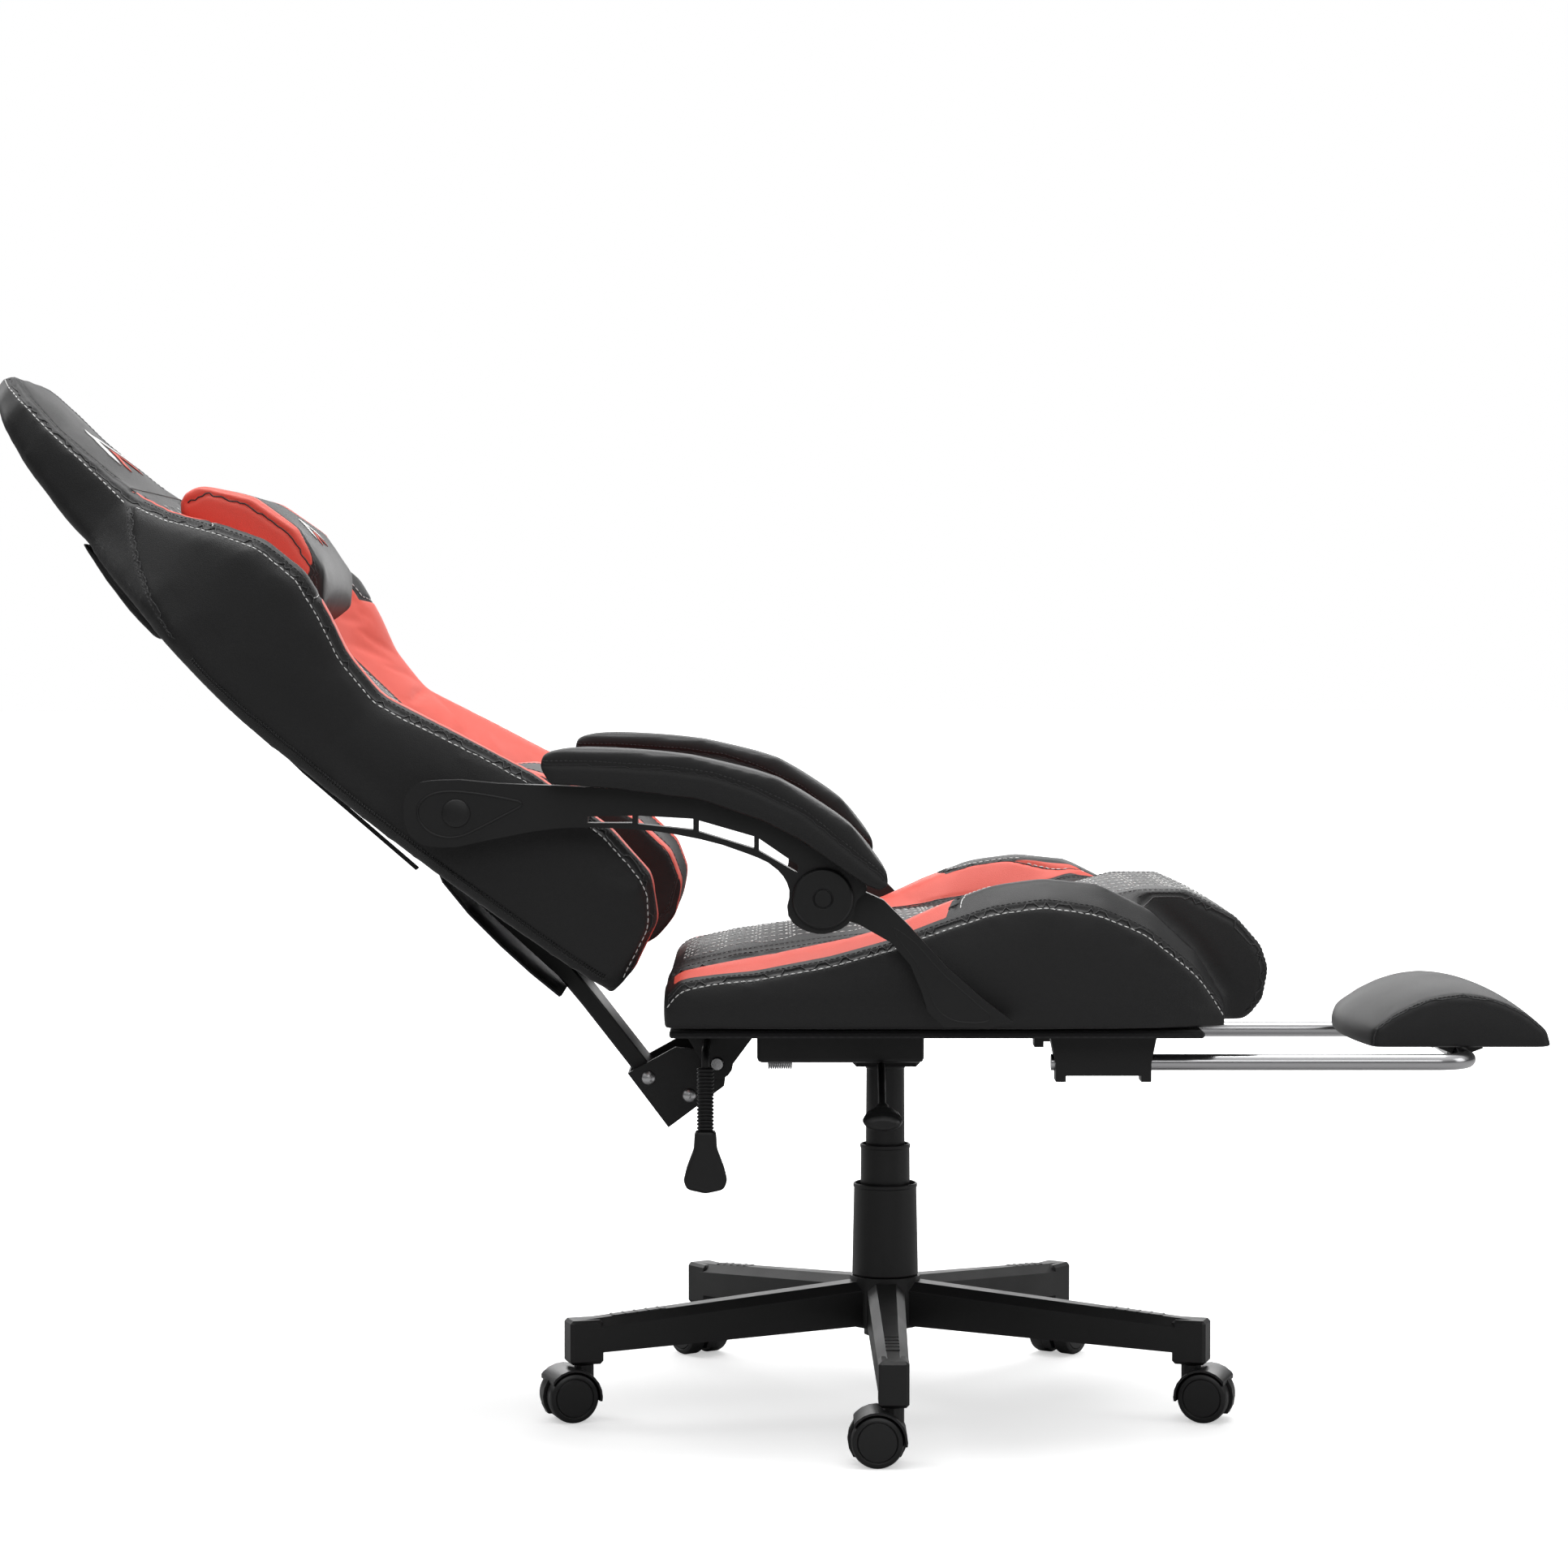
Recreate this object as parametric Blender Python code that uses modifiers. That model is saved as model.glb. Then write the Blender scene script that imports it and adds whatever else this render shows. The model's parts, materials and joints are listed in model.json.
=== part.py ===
"""Reclining gaming chair with linked armrests and a pull-out footrest.

Metres, +Z up, +X to the sitter's front, -Y to the sitter's right. Heights are above the floor.
Places along X are measured from the gas lift's axis, which stands HUB_X ahead of the origin.
"""

from math import cos, pi, radians, sin

import bmesh
import bpy
from mathutils import Matrix, Vector

GAP = 0.0003  # between pieces that touch
PLAY = 0.0005  # round a shaft in its bore
SPAN = 0.5  # reach of a cutter that goes right through
HUB_X = 0.1172  # puts the origin under the middle of the chair's length

# Star base
LEG_COUNT = 5
LEG_REACH = 0.3175  # lift axis to caster stem
LEG_WIDTH_HUB = 0.038
LEG_WIDTH_END = 0.029
LEG_BLOCK = 0.034
HUB_RADIUS = 0.036
HUB_TOP = 0.129
HUB_BOTTOM = 0.078
LEG_END_TOP = 0.100
LEG_END_BOTTOM = 0.056

# Casters
WHEEL_RADIUS = 0.025
WHEEL_WIDTH = 0.0185
WHEEL_GAP = 0.0115  # between the two wheels of a caster
CASTER_TRAIL = 0.0155
HOOD_RADIUS = 0.0285
AXLE_RADIUS = 0.004
STEM_RADIUS = 0.0055
STEM_TOP = 0.078

# Gas lift and its telescopic cover: radius, bottom and top of each stage
TUBE_RADIUS = 0.0215
TUBE_BOTTOM = 0.068
TUBE_TOP = 0.176
ROD_RADIUS = 0.013
ROD_BOTTOM = 0.150
COVER_WALL = 0.002
COVER_BOTTOM_STAGE = (0.0325, HUB_TOP + GAP, 0.223)
COVER_MIDDLE_STAGE = (0.0255, 0.172, 0.263)
COVER_TOP_STAGE = (0.0200, 0.229, 0.3440)

# Seat
SEAT_REAR = -0.221
SEAT_BOTTOM = 0.393
BOARD_THICK = 0.007
SEAT_HALF_WIDTH = 0.265
SEAT_CENTRE_HALF = 0.165
BOARD_MARGIN = 0.030  # from the seat's side to the board's
MECHANISM_BOTTOM = 0.352
SOCKET_BOTTOM = 0.3445
MECHANISM_HALF = 0.072
MECHANISM_REAR = -0.130
MECHANISM_FRONT = 0.037

# Recline pivot, and the linked armrests' pivots, as (x, z)
RECLINE_PIVOT = (-0.170, 0.350)
ARM_REAR_PIVOT = (-0.410, 0.612)
ARM_FRONT_PIVOT = (-0.0665, 0.5324)
POST_PIVOT = (0.070, 0.415)

# Backrest: a line along its rear from the lowest point, reclined by BACK_SLOPE from level
BACK_FOOT = (-0.262, 0.426)
BACK_SLOPE = radians(43.1)
BACK_HALF_WIDTH = SEAT_HALF_WIDTH + 0.003
BACK_CENTRE_HALF = 0.145
PANEL_FACE = 0.045  # front of the centre panel, ahead of the rear line
LUMBAR_MARGIN = 0.002  # from a loose cushion's side to the wing beside it
PILLOW_MARGIN = 0.013
BAR_HALF_WIDTH = 0.040
BRACKET_HALF = 0.052
BRACKET_WALL = 0.006
BRACKET_WEB = 0.0025
EAR_THICK = 0.005
EAR_RADIUS = 0.016
AXLE_BOLT_RADIUS = 0.006
AXLE_HEAD_RADIUS = 0.010
BOLT_RADIUS = 0.004
BOLT_HEAD_RADIUS = 0.0072
BOLT_HEAD_HEIGHT = 0.0045
STRAP_Y = 0.100
STRAP_WIDTH = 0.022
STRAP_THICK = 0.0022

# Armrests, as distances from the middle plane
POST_CLEARANCE = 0.0025  # from the seat's side to the post
POST_THICK = 0.018
FRAME_CLEARANCE = 0.0005  # from the post to the frame
FRAME_THICK = 0.024
PAD_INSIDE = 0.012  # how far the pad reaches inside the frame
PAD_OUTSIDE = 0.032  # and outside it
POST_INNER = SEAT_HALF_WIDTH + POST_CLEARANCE
POST_OUTER = POST_INNER + POST_THICK
FRAME_INNER = POST_OUTER + FRAME_CLEARANCE
FRAME_OUTER = FRAME_INNER + FRAME_THICK
PAD_INNER = FRAME_INNER - PAD_INSIDE
PAD_OUTER = FRAME_OUTER + PAD_OUTSIDE
DISC_RADIUS = 0.0287
DISC_THICK = 0.007
ARM_PIN_RADIUS = 0.006
OPEN_PIVOT_PLAY = 0.0105  # slack of the front pin in the post's eye
REAR_CAP_RADIUS = 0.0134
REAR_BOLT_RADIUS = 0.009
REAR_FLANGE_RADIUS = 0.022
POST_PIN_RADIUS = 0.005
POST_SPACER_RADIUS = 0.0062

# Footrest
RAIL_RADIUS = 0.008
RAIL_HALF = 0.165  # middle plane to a rail's middle
RAIL_Z = 0.3630
RAIL_REAR = 0.157
CROSSBAR_X = 0.569
RAIL_BEND = 0.035
GUIDE_REAR = 0.161
GUIDE_FRONT = 0.254
REST_HALF = 0.140
REST_BOTTOM = RAIL_Z + RAIL_RADIUS + PLAY
REST_REAR = 0.472
REST_FRONT = 0.654
REST_HEIGHT = 0.058

# Levers
RECLINE_LEVER = (-0.180, -0.150, 0.372)
HOSE_RADIUS = 0.0085
HOSE_BOTTOM = 0.295
PADDLE_LENGTH = 0.062
PADDLE_HALF = 0.0215
HEIGHT_LEVER = (-0.006, -0.0745, 0.350)
HEIGHT_LEVER_TIP = (-0.009, -0.2600, 0.314)

MATERIALS = {
    "black_leather": ((0.020, 0.020, 0.021, 1), 0.45, 0.0),
    "red_leather": ((0.68, 0.115, 0.075, 1), 0.45, 0.0),
    "black_plastic": ((0.014, 0.014, 0.015, 1), 0.42, 0.0),
    "black_steel": ((0.010, 0.010, 0.011, 1), 0.38, 0.3),
    "chrome": ((0.72, 0.72, 0.73, 1), 0.14, 1.0),
    "zinc_steel": ((0.60, 0.60, 0.61, 1), 0.30, 1.0),
    "black_webbing": ((0.012, 0.012, 0.013, 1), 0.75, 0.0),
    "plywood": ((0.030, 0.029, 0.028, 1), 0.70, 0.0),
}


# ---------------------------------------------------------------- scene and helpers

def clear_scene():
    for obj in list(bpy.data.objects):
        bpy.data.objects.remove(obj)


def new_collection(name):
    found = bpy.data.collections.new(name)
    bpy.context.scene.collection.children.link(found)
    return found


def make_materials():
    made = {}
    for name, (colour, roughness, metallic) in MATERIALS.items():
        material = bpy.data.materials.new(name)
        material.use_nodes = True
        shader = material.node_tree.nodes["Principled BSDF"]
        shader.inputs["Base Color"].default_value = colour
        shader.inputs["Roughness"].default_value = roughness
        shader.inputs["Metallic"].default_value = metallic
        material.diffuse_color = colour
        made[name] = material
    return made


def from_bmesh(name, shape):
    mesh = bpy.data.meshes.new(name)
    bmesh.ops.recalc_face_normals(shape, faces=shape.faces)
    shape.to_mesh(mesh)
    shape.free()
    obj = bpy.data.objects.new(name, mesh)
    cutters.objects.link(obj)
    obj.hide_render = True
    obj.display_type = "WIRE"
    return obj


def baked(obj, weld=0.0):
    """The object as a plain mesh with its modifiers and its place applied."""
    bpy.context.view_layer.update()
    graph = bpy.context.evaluated_depsgraph_get()
    mesh = bpy.data.meshes.new_from_object(obj.evaluated_get(graph))
    mesh.transform(obj.matrix_world)
    shape = bmesh.new()
    shape.from_mesh(mesh)
    if weld:
        bmesh.ops.remove_doubles(shape, verts=shape.verts, dist=weld)
    name = obj.name
    bpy.data.objects.remove(obj)
    bpy.data.meshes.remove(mesh)
    return from_bmesh(name, shape)


def combined(obj, others, operation):
    for other in others:
        change = obj.modifiers.new("Boolean", "BOOLEAN")
        change.operation = operation
        change.object = other
    made = baked(obj)
    for other in others:
        bpy.data.objects.remove(other)
    return made


def joined(obj, *others):
    return combined(obj, others, "UNION")


def cut(obj, *others):
    return combined(obj, others, "DIFFERENCE")


def rounded(obj, width, segments=2, angle=35):
    bevel = obj.modifiers.new("Bevel", "BEVEL")
    bevel.width = width
    bevel.segments = segments
    bevel.limit_method = "ANGLE"
    bevel.angle_limit = radians(angle)
    return obj


def box(name, low, high):
    shape = bmesh.new()
    bmesh.ops.create_cube(shape, size=1)
    size = [b - a for a, b in zip(low, high)]
    bmesh.ops.scale(shape, verts=shape.verts, vec=size)
    middle = [(a + b) / 2 for a, b in zip(low, high)]
    bmesh.ops.translate(shape, verts=shape.verts, vec=middle)
    return from_bmesh(name, shape)


def cylinder(name, radius, low, high, place=(0, 0), axis="Z", sides=24):
    """A cylinder from low to high along its axis; place is its other two coordinates."""
    shape = bmesh.new()
    bmesh.ops.create_cone(
        shape, cap_ends=True, segments=sides, radius1=radius, radius2=radius, depth=high - low
    )
    bmesh.ops.translate(shape, verts=shape.verts, vec=(0, 0, (low + high) / 2))
    turn = {
        "Z": Matrix.Identity(3),
        "Y": Matrix.Rotation(-pi / 2, 3, "X"),
        "X": Matrix.Rotation(pi / 2, 3, "Y"),
    }[axis]
    bmesh.ops.rotate(shape, verts=shape.verts, matrix=turn)
    a, b = place
    shift = {"Z": (a, b, 0), "Y": (a, 0, b), "X": (0, a, b)}[axis]
    bmesh.ops.translate(shape, verts=shape.verts, vec=shift)
    return from_bmesh(name, shape)


def turned(name, profile, steps=24):
    """A profile of (radius, z), down the outer side, turned round Z."""
    mesh = bpy.data.meshes.new(name)
    points = [(radius, 0, z) for radius, z in profile]
    edges = [(i, i + 1) for i in range(len(points) - 1)]
    mesh.from_pydata(points, edges, [])
    obj = bpy.data.objects.new(name, mesh)
    cutters.objects.link(obj)
    screw = obj.modifiers.new("Screw", "SCREW")
    screw.steps = steps
    screw.render_steps = steps
    screw.use_merge_vertices = True
    screw.merge_threshold = 0.0001
    return baked(obj)


def outline(name, points, low, high, smooth=False):
    """A flat outline of (x, z) points, made solid from y = low to y = high."""
    curve = bpy.data.curves.new(name, "CURVE")
    curve.dimensions = "2D"
    curve.fill_mode = "BOTH"
    curve.extrude = (high - low) / 2
    curve.resolution_u = 3
    kind = "BEZIER" if smooth else "POLY"
    spline = curve.splines.new(kind)
    places = spline.bezier_points if smooth else spline.points
    places.add(len(points) - 1)
    for place, (x, z) in zip(places, points):
        place.co = (x, z, 0) if smooth else (x, z, 0, 1)
        if smooth:
            place.handle_left_type = "AUTO"
            place.handle_right_type = "AUTO"
    spline.use_cyclic_u = True
    obj = bpy.data.objects.new(name, curve)
    obj.rotation_euler.x = pi / 2
    obj.location.y = (low + high) / 2
    cutters.objects.link(obj)
    return baked(obj, weld=0.00005)


def tube(name, points, radius, resolution=3):
    curve = bpy.data.curves.new(name, "CURVE")
    curve.dimensions = "3D"
    curve.bevel_depth = radius
    curve.bevel_resolution = resolution
    curve.use_fill_caps = True
    spline = curve.splines.new("POLY")
    spline.points.add(len(points) - 1)
    for place, point in zip(spline.points, points):
        place.co = (*point, 1)
    obj = bpy.data.objects.new(name, curve)
    cutters.objects.link(obj)
    return baked(obj, weld=0.00005)


def loft(name, rings):
    """A closed solid through rings of equal point counts, capped at both ends."""
    shape = bmesh.new()
    rows = [[shape.verts.new(point) for point in ring] for ring in rings]
    for before, after in zip(rows, rows[1:]):
        for i in range(len(before)):
            j = (i + 1) % len(before)
            shape.faces.new((before[i], before[j], after[j], after[i]))
    shape.faces.new(rows[0])
    shape.faces.new(rows[-1])
    return from_bmesh(name, shape)


def mirrored(obj, name):
    """A copy of the object on the other side of the middle plane."""
    mesh = obj.data.copy()
    mesh.transform(Matrix.Diagonal((1, -1, 1, 1)))
    shape = bmesh.new()
    shape.from_mesh(mesh)
    made = from_bmesh(name, shape)
    for modifier in obj.modifiers:
        rounded(made, modifier.width, modifier.segments, modifier.angle_limit * 180 / pi)
    return made


def arc(centre, radius, start, end, steps):
    """Points round a centre from start to end degrees."""
    found = []
    for i in range(steps + 1):
        angle = radians(start + (end - start) * i / steps)
        found.append((centre[0] + radius * cos(angle), centre[1] + radius * sin(angle)))
    return found


def along_back(u, v):
    """(x, z) of a point u up the backrest's rear line and v ahead of it."""
    x = BACK_FOOT[0] - u * cos(BACK_SLOPE) + v * sin(BACK_SLOPE)
    z = BACK_FOOT[1] + u * sin(BACK_SLOPE) + v * cos(BACK_SLOPE)
    return (x, z)


def pivot(name, place, parent=None):
    """An empty on a joint's axis, which carries the pieces that move together."""
    empty = bpy.data.objects.new(name, None)
    empty.empty_display_size = 0.03
    parts.objects.link(empty)
    empty.location = place
    if parent:
        bpy.context.view_layer.update()
        empty.parent = parent
        empty.matrix_parent_inverse = parent.matrix_world.inverted()
    bpy.context.view_layer.update()
    return empty


def part(obj, parent, material, smooth_angle=40):
    """Makes a finished shape one of the chair's pieces."""
    cutters.objects.unlink(obj)
    parts.objects.link(obj)
    obj.hide_render = False
    obj.display_type = "TEXTURED"
    obj.data.materials.append(materials[material])
    if smooth_angle:
        obj.data.shade_smooth()
        obj.data.set_sharp_from_angle(angle=radians(smooth_angle))
    obj.parent = parent
    obj.matrix_parent_inverse = parent.matrix_world.inverted()
    return obj


# ---------------------------------------------------------------- star base and casters

def leg(angle):
    """One leg: a tapering beam with a chamfered ridge, and the block that holds a caster."""
    beam = bmesh.new()
    bmesh.ops.create_cube(beam, size=1)
    for vert in beam.verts:
        outer = vert.co.x > 0
        top = vert.co.z > 0
        half = (LEG_WIDTH_END if outer else LEG_WIDTH_HUB) / 2
        vert.co.y = half if vert.co.y > 0 else -half
        if outer:
            vert.co.z = LEG_END_TOP if top else LEG_END_BOTTOM + 0.011
        else:
            vert.co.z = HUB_TOP - 0.003 if top else HUB_BOTTOM + 0.003
        vert.co.x = LEG_REACH if outer else 0.012
    ridge = [e for e in beam.edges if all(v.co.z > LEG_END_TOP - 0.001 for v in e.verts)]
    ridge = [e for e in ridge if abs(e.verts[0].co.x - e.verts[1].co.x) > 0.1]
    bmesh.ops.bevel(beam, geom=ridge, offset=0.0085, segments=1, affect="EDGES", profile=0.5)
    beam = from_bmesh("leg", beam)
    half = LEG_WIDTH_END / 2
    block = box(
        "leg_block",
        (LEG_REACH - LEG_BLOCK / 2, -half, LEG_END_BOTTOM),
        (LEG_REACH + LEG_BLOCK / 2, half, LEG_END_TOP),
    )
    block = baked(rounded(block, 0.003, 1))
    made = joined(beam, block)
    made.data.transform(Matrix.Rotation(angle, 4, "Z"))
    return made


def star_base(parent):
    hub = cylinder("star_base", HUB_RADIUS, HUB_BOTTOM, HUB_TOP, sides=20)
    hub = joined(hub, *[leg(angle) for angle in leg_angles()])
    holes = [cylinder("bore", TUBE_RADIUS + GAP, 0, 1, sides=20)]
    for angle in leg_angles():
        place = (LEG_REACH * cos(angle), LEG_REACH * sin(angle))
        holes.append(cylinder("socket", STEM_RADIUS + PLAY, 0, STEM_TOP + PLAY, place, sides=10))
    return part(cut(hub, *holes), parent, "black_plastic", 30)


def leg_angles():
    return [radians(-90 + i * 360 / LEG_COUNT) for i in range(LEG_COUNT)]


def caster_fork_mesh():
    """The web between the wheels, the hood over them and the stem, stem on the Z axis."""
    centre = (CASTER_TRAIL, WHEEL_RADIUS)
    web_half = WHEEL_GAP / 2 - PLAY
    hood_half = WHEEL_GAP / 2 + WHEEL_WIDTH
    fork = cylinder("caster_fork", HOOD_RADIUS, -hood_half, hood_half, centre, "Y", 24)
    boss = cylinder("boss", 0.010, WHEEL_RADIUS, LEG_END_BOTTOM - 0.0012, sides=12)
    inside = cylinder("inside", WHEEL_RADIUS + 0.0012, -0.1, 0.1, centre, "Y", 24)
    fork = cut(joined(fork, boss), inside)
    front = centre[0] - 0.012
    low = box("low", (-0.1, -0.1, -0.1), (0.1, 0.1, WHEEL_RADIUS - 0.004))
    ahead = box("ahead", (front + 0.034, -0.1, -0.1), (0.1, 0.1, 0.1))
    fork = cut(fork, low, ahead)
    web = cylinder("web", HOOD_RADIUS - 0.0005, -web_half, web_half, centre, "Y", 20)
    under = box("under", (-0.1, -0.1, -0.1), (0.1, 0.1, 0.008))
    web = cut(web, under)
    stem = cylinder("stem", STEM_RADIUS, LEG_END_BOTTOM - 0.006, STEM_TOP, sides=10)
    fork = joined(fork, web, stem)
    bore = cylinder("bore", AXLE_RADIUS + PLAY, -0.1, 0.1, centre, "Y", 10)
    return cut(fork, bore)


def caster_wheels_mesh():
    """Two wheels on one axle, turned in one piece round the Z axis, then laid along Y."""
    inner = WHEEL_GAP / 2
    outer = inner + WHEEL_WIDTH
    half = [
        (0, outer),
        (WHEEL_RADIUS - 0.0055, outer),
        (WHEEL_RADIUS - 0.0015, outer - 0.0015),
        (WHEEL_RADIUS, outer - 0.0045),
        (WHEEL_RADIUS, inner + 0.002),
        (WHEEL_RADIUS - 0.0015, inner),
        (AXLE_RADIUS, inner),
    ]
    profile = half + [(radius, -z) for radius, z in reversed(half)]
    wheels = turned("caster_wheels", profile, 20)
    wheels.data.transform(Matrix.Rotation(pi / 2, 4, "X"))
    wheels.data.transform(Matrix.Translation((CASTER_TRAIL, 0, WHEEL_RADIUS)))
    return wheels


def casters(parent):
    """Five casters that trail outwards, except the first, which trails to the rear."""
    fork = caster_fork_mesh()
    wheels = caster_wheels_mesh()
    for i, angle in enumerate(leg_angles()):
        number = i + 1
        place = Vector((LEG_REACH * cos(angle), LEG_REACH * sin(angle), 0))
        heading = pi if i == 0 else angle
        turn = Matrix.Translation(place) @ Matrix.Rotation(heading, 4, "Z")
        swivel = pivot(f"caster_{number}_swivel", place + Vector((HUB_X, 0, 0)), parent)
        shift = Matrix.Translation((HUB_X, 0, 0))
        copy = from_bmesh(f"caster_fork_{number}", copied(fork, shift @ turn))
        part(copy, swivel, "black_plastic")
        middle = turn @ Vector((CASTER_TRAIL, 0, WHEEL_RADIUS))
        axle = pivot(f"caster_{number}_axle", middle + Vector((HUB_X, 0, 0)), swivel)
        copy = from_bmesh(f"caster_wheels_{number}", copied(wheels, shift @ turn))
        part(copy, axle, "black_plastic", 30)
    bpy.data.objects.remove(fork)
    bpy.data.objects.remove(wheels)


def copied(obj, matrix):
    shape = bmesh.new()
    shape.from_mesh(obj.data)
    bmesh.ops.transform(shape, matrix=matrix, verts=shape.verts)
    return shape


# ---------------------------------------------------------------- gas lift

def sleeve(name, stage, radius_foot=None):
    """One stage of the telescopic cover, open at both ends."""
    radius, low, high = stage
    foot = radius_foot or radius
    profile = [
        (radius - 0.001, high),
        (radius, high - 0.001),
        (foot, low),
        (foot - COVER_WALL, low),
        (radius - COVER_WALL, high - 0.001),
        (radius - COVER_WALL, high),
        (radius - 0.001, high),
    ]
    return turned(name, profile, 20)


def gas_lift(base, middle, lift):
    profile = [
        (TUBE_RADIUS, TUBE_TOP),
        (TUBE_RADIUS, TUBE_BOTTOM),
        (0, TUBE_BOTTOM),
        (0, TUBE_BOTTOM + 0.012),
        (ROD_RADIUS + PLAY, TUBE_BOTTOM + 0.012),
        (ROD_RADIUS + PLAY, TUBE_TOP),
        (TUBE_RADIUS, TUBE_TOP),
    ]
    part(turned("gas_lift_tube", profile, 20), base, "black_steel")
    foot = HUB_RADIUS - 0.0025
    part(sleeve("lift_cover_bottom", COVER_BOTTOM_STAGE, foot), base, "black_plastic")
    part(sleeve("lift_cover_middle", COVER_MIDDLE_STAGE), middle, "black_plastic")
    part(sleeve("lift_cover_top", COVER_TOP_STAGE), lift, "black_plastic")
    rod = cylinder("gas_piston_rod", ROD_RADIUS, ROD_BOTTOM, SOCKET_BOTTOM - GAP, sides=20)
    part(rod, lift, "chrome")


# ---------------------------------------------------------------- seat

SEAT_TOP_POINTS = [(-0.221, 0.448), (-0.205, 0.463), (-0.150, 0.475), (-0.060, 0.488), (0.050, 0.497),
                   (0.150, 0.511), (0.240, 0.534), (0.290, 0.534), (0.340, 0.508)]
SEAT_FRONT_POINTS = [(0.366, 0.478), (0.3735, 0.455), (0.368, 0.423), (0.350, 0.4003)]

# Each station of a side bolster: x, seam height, crest height, and how far the side is drawn in
BOLSTER_STATIONS = [
    (-0.221, 0.438, 0.446, 0.009),
    (-0.203, 0.452, 0.460, 0.004),
    (-0.130, 0.459, 0.471, 0.001),
    (-0.060, 0.472, 0.486, 0.000),
    (0.000, 0.489, 0.503, 0.000),
    (0.050, 0.508, 0.526, 0.000),
    (0.095, 0.523, 0.543, 0.000),
    (0.145, 0.530, 0.550, 0.000),
    (0.200, 0.522, 0.544, 0.003),
    (0.250, 0.499, 0.519, 0.009),
    (0.295, 0.462, 0.478, 0.021),
    (0.324, 0.424, 0.432, 0.037),
]


def seat_top(x):
    """Height of the centre cushion's top at x."""
    points = SEAT_TOP_POINTS
    for (x0, z0), (x1, z1) in zip(points, points[1:]):
        if x <= x1:
            share = max(0.0, (x - x0) / (x1 - x0))
            return z0 + (z1 - z0) * share
    return points[-1][1]


def seat_bolster():
    """The raised side of the seat, on the sitter's left."""
    rings = []
    low = SEAT_BOTTOM + BOARD_THICK + GAP
    inner = SEAT_CENTRE_HALF + GAP
    for x, seam, crest, inset in BOLSTER_STATIONS:
        half = SEAT_HALF_WIDTH - inset
        joint = min(seat_top(x), crest - 0.004)
        ring = [
            (inner, low),
            (half - 0.006, low),
            (half, low + 0.012),
            (half, seam - 0.012),
            (half - 0.009, seam),
            (half - 0.035, crest),
            (inner + 0.028, crest - 0.003),
            (inner, joint),
        ]
        rings.append([(x, y, z) for y, z in ring])
    return rounded(loft("seat_bolster_left", rings), 0.008, 1, 50)


def seat(seat_body):
    half = SEAT_CENTRE_HALF
    points = SEAT_TOP_POINTS + SEAT_FRONT_POINTS + [(SEAT_REAR, SEAT_BOTTOM + BOARD_THICK + GAP)]
    centre = outline("seat_cushion", points, -half, half)
    part(rounded(centre, 0.012, 2, 50), seat_body, "black_leather", 50)
    left = seat_bolster()
    right = mirrored(left, "seat_bolster_right")
    part(left, seat_body, "black_leather", 50)
    part(right, seat_body, "black_leather", 50)
    board = box(
        "seat_board",
        (SEAT_REAR + 0.008, BOARD_MARGIN - SEAT_HALF_WIDTH, SEAT_BOTTOM),
        (0.300, SEAT_HALF_WIDTH - BOARD_MARGIN, SEAT_BOTTOM + BOARD_THICK),
    )
    part(rounded(board, 0.002, 1), seat_body, "plywood", 0)


def mechanism(seat_body):
    top = SEAT_BOTTOM - GAP
    half = MECHANISM_HALF
    body = box(
        "seat_mechanism",
        (MECHANISM_REAR, -half, MECHANISM_BOTTOM),
        (MECHANISM_FRONT, half, top),
    )
    body = baked(rounded(body, 0.005, 2))
    socket = box("socket", (-0.034, -0.040, SOCKET_BOTTOM), (0.034, 0.040, top - 0.01))
    body = joined(body, baked(rounded(socket, 0.004, 1)))
    part(body, seat_body, "black_steel", 30)
    ridges = []
    turns = 4
    for i in range(turns * 2 + 1):
        radius = 0.0062 if i % 2 else 0.0048
        ridges.append((radius, 0.026 - 0.026 * i / (turns * 2)))
    spring = turned("tilt_spring", [(0, 0.026)] + ridges + [(0, 0)], 10)
    spring.data.transform(Matrix.Rotation(pi / 2, 4, "Y"))
    spring.data.transform(Matrix.Translation((-0.120, 0, MECHANISM_BOTTOM - 0.0075)))
    part(spring, seat_body, "zinc_steel")


# ---------------------------------------------------------------- recline hinge

def recline_hinge(seat_body, back_body):
    px, pz = RECLINE_PIVOT
    ear = EAR_RADIUS
    inner = BRACKET_HALF + 0.003
    outer = inner + EAR_THICK
    top = SEAT_BOTTOM - GAP
    points = [(px - 0.036, top), (px - 0.036, top - 0.006), (px - ear, pz + 0.004)]
    points += arc((px, pz), ear, 180, 360, 8)
    points += [(MECHANISM_REAR - GAP - 0.001, top - 0.012), (MECHANISM_REAR - GAP - 0.001, top)]
    bracket = outline("recline_bracket", points, -outer, outer)
    space = box("space", (-SPAN, -inner, 0), (0, inner, top - 0.004))
    bore = cylinder("bore", AXLE_BOLT_RADIUS + PLAY, -SPAN, SPAN, RECLINE_PIVOT, "Y", 20)
    part(cut(bracket, space, bore), seat_body, "black_steel", 30)
    axle_end = outer + 0.004
    profile = [
        (0, axle_end),
        (AXLE_HEAD_RADIUS, axle_end),
        (AXLE_HEAD_RADIUS, outer + GAP),
        (AXLE_BOLT_RADIUS, outer + GAP),
        (AXLE_BOLT_RADIUS, -axle_end),
        (0, -axle_end),
    ]
    axle = turned("recline_axle", profile, 16)
    axle.data.transform(Matrix.Rotation(-pi / 2, 4, "X"))
    axle.data.transform(Matrix.Translation((px, 0, pz)))
    part(axle, seat_body, "zinc_steel")
    back_bracket(back_body)


BRACKET_POINTS = [(-0.260, 0.3395), (-0.212, 0.366), (-0.182, 0.3625)]
BRACKET_LOWER_POINTS = [(-0.163, 0.327), (-0.219, 0.285)]
BOLT_PLACES = {"bracket_bolt_upper": (-0.239, 0.335), "bracket_bolt_lower": (-0.198, 0.3175)}


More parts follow.
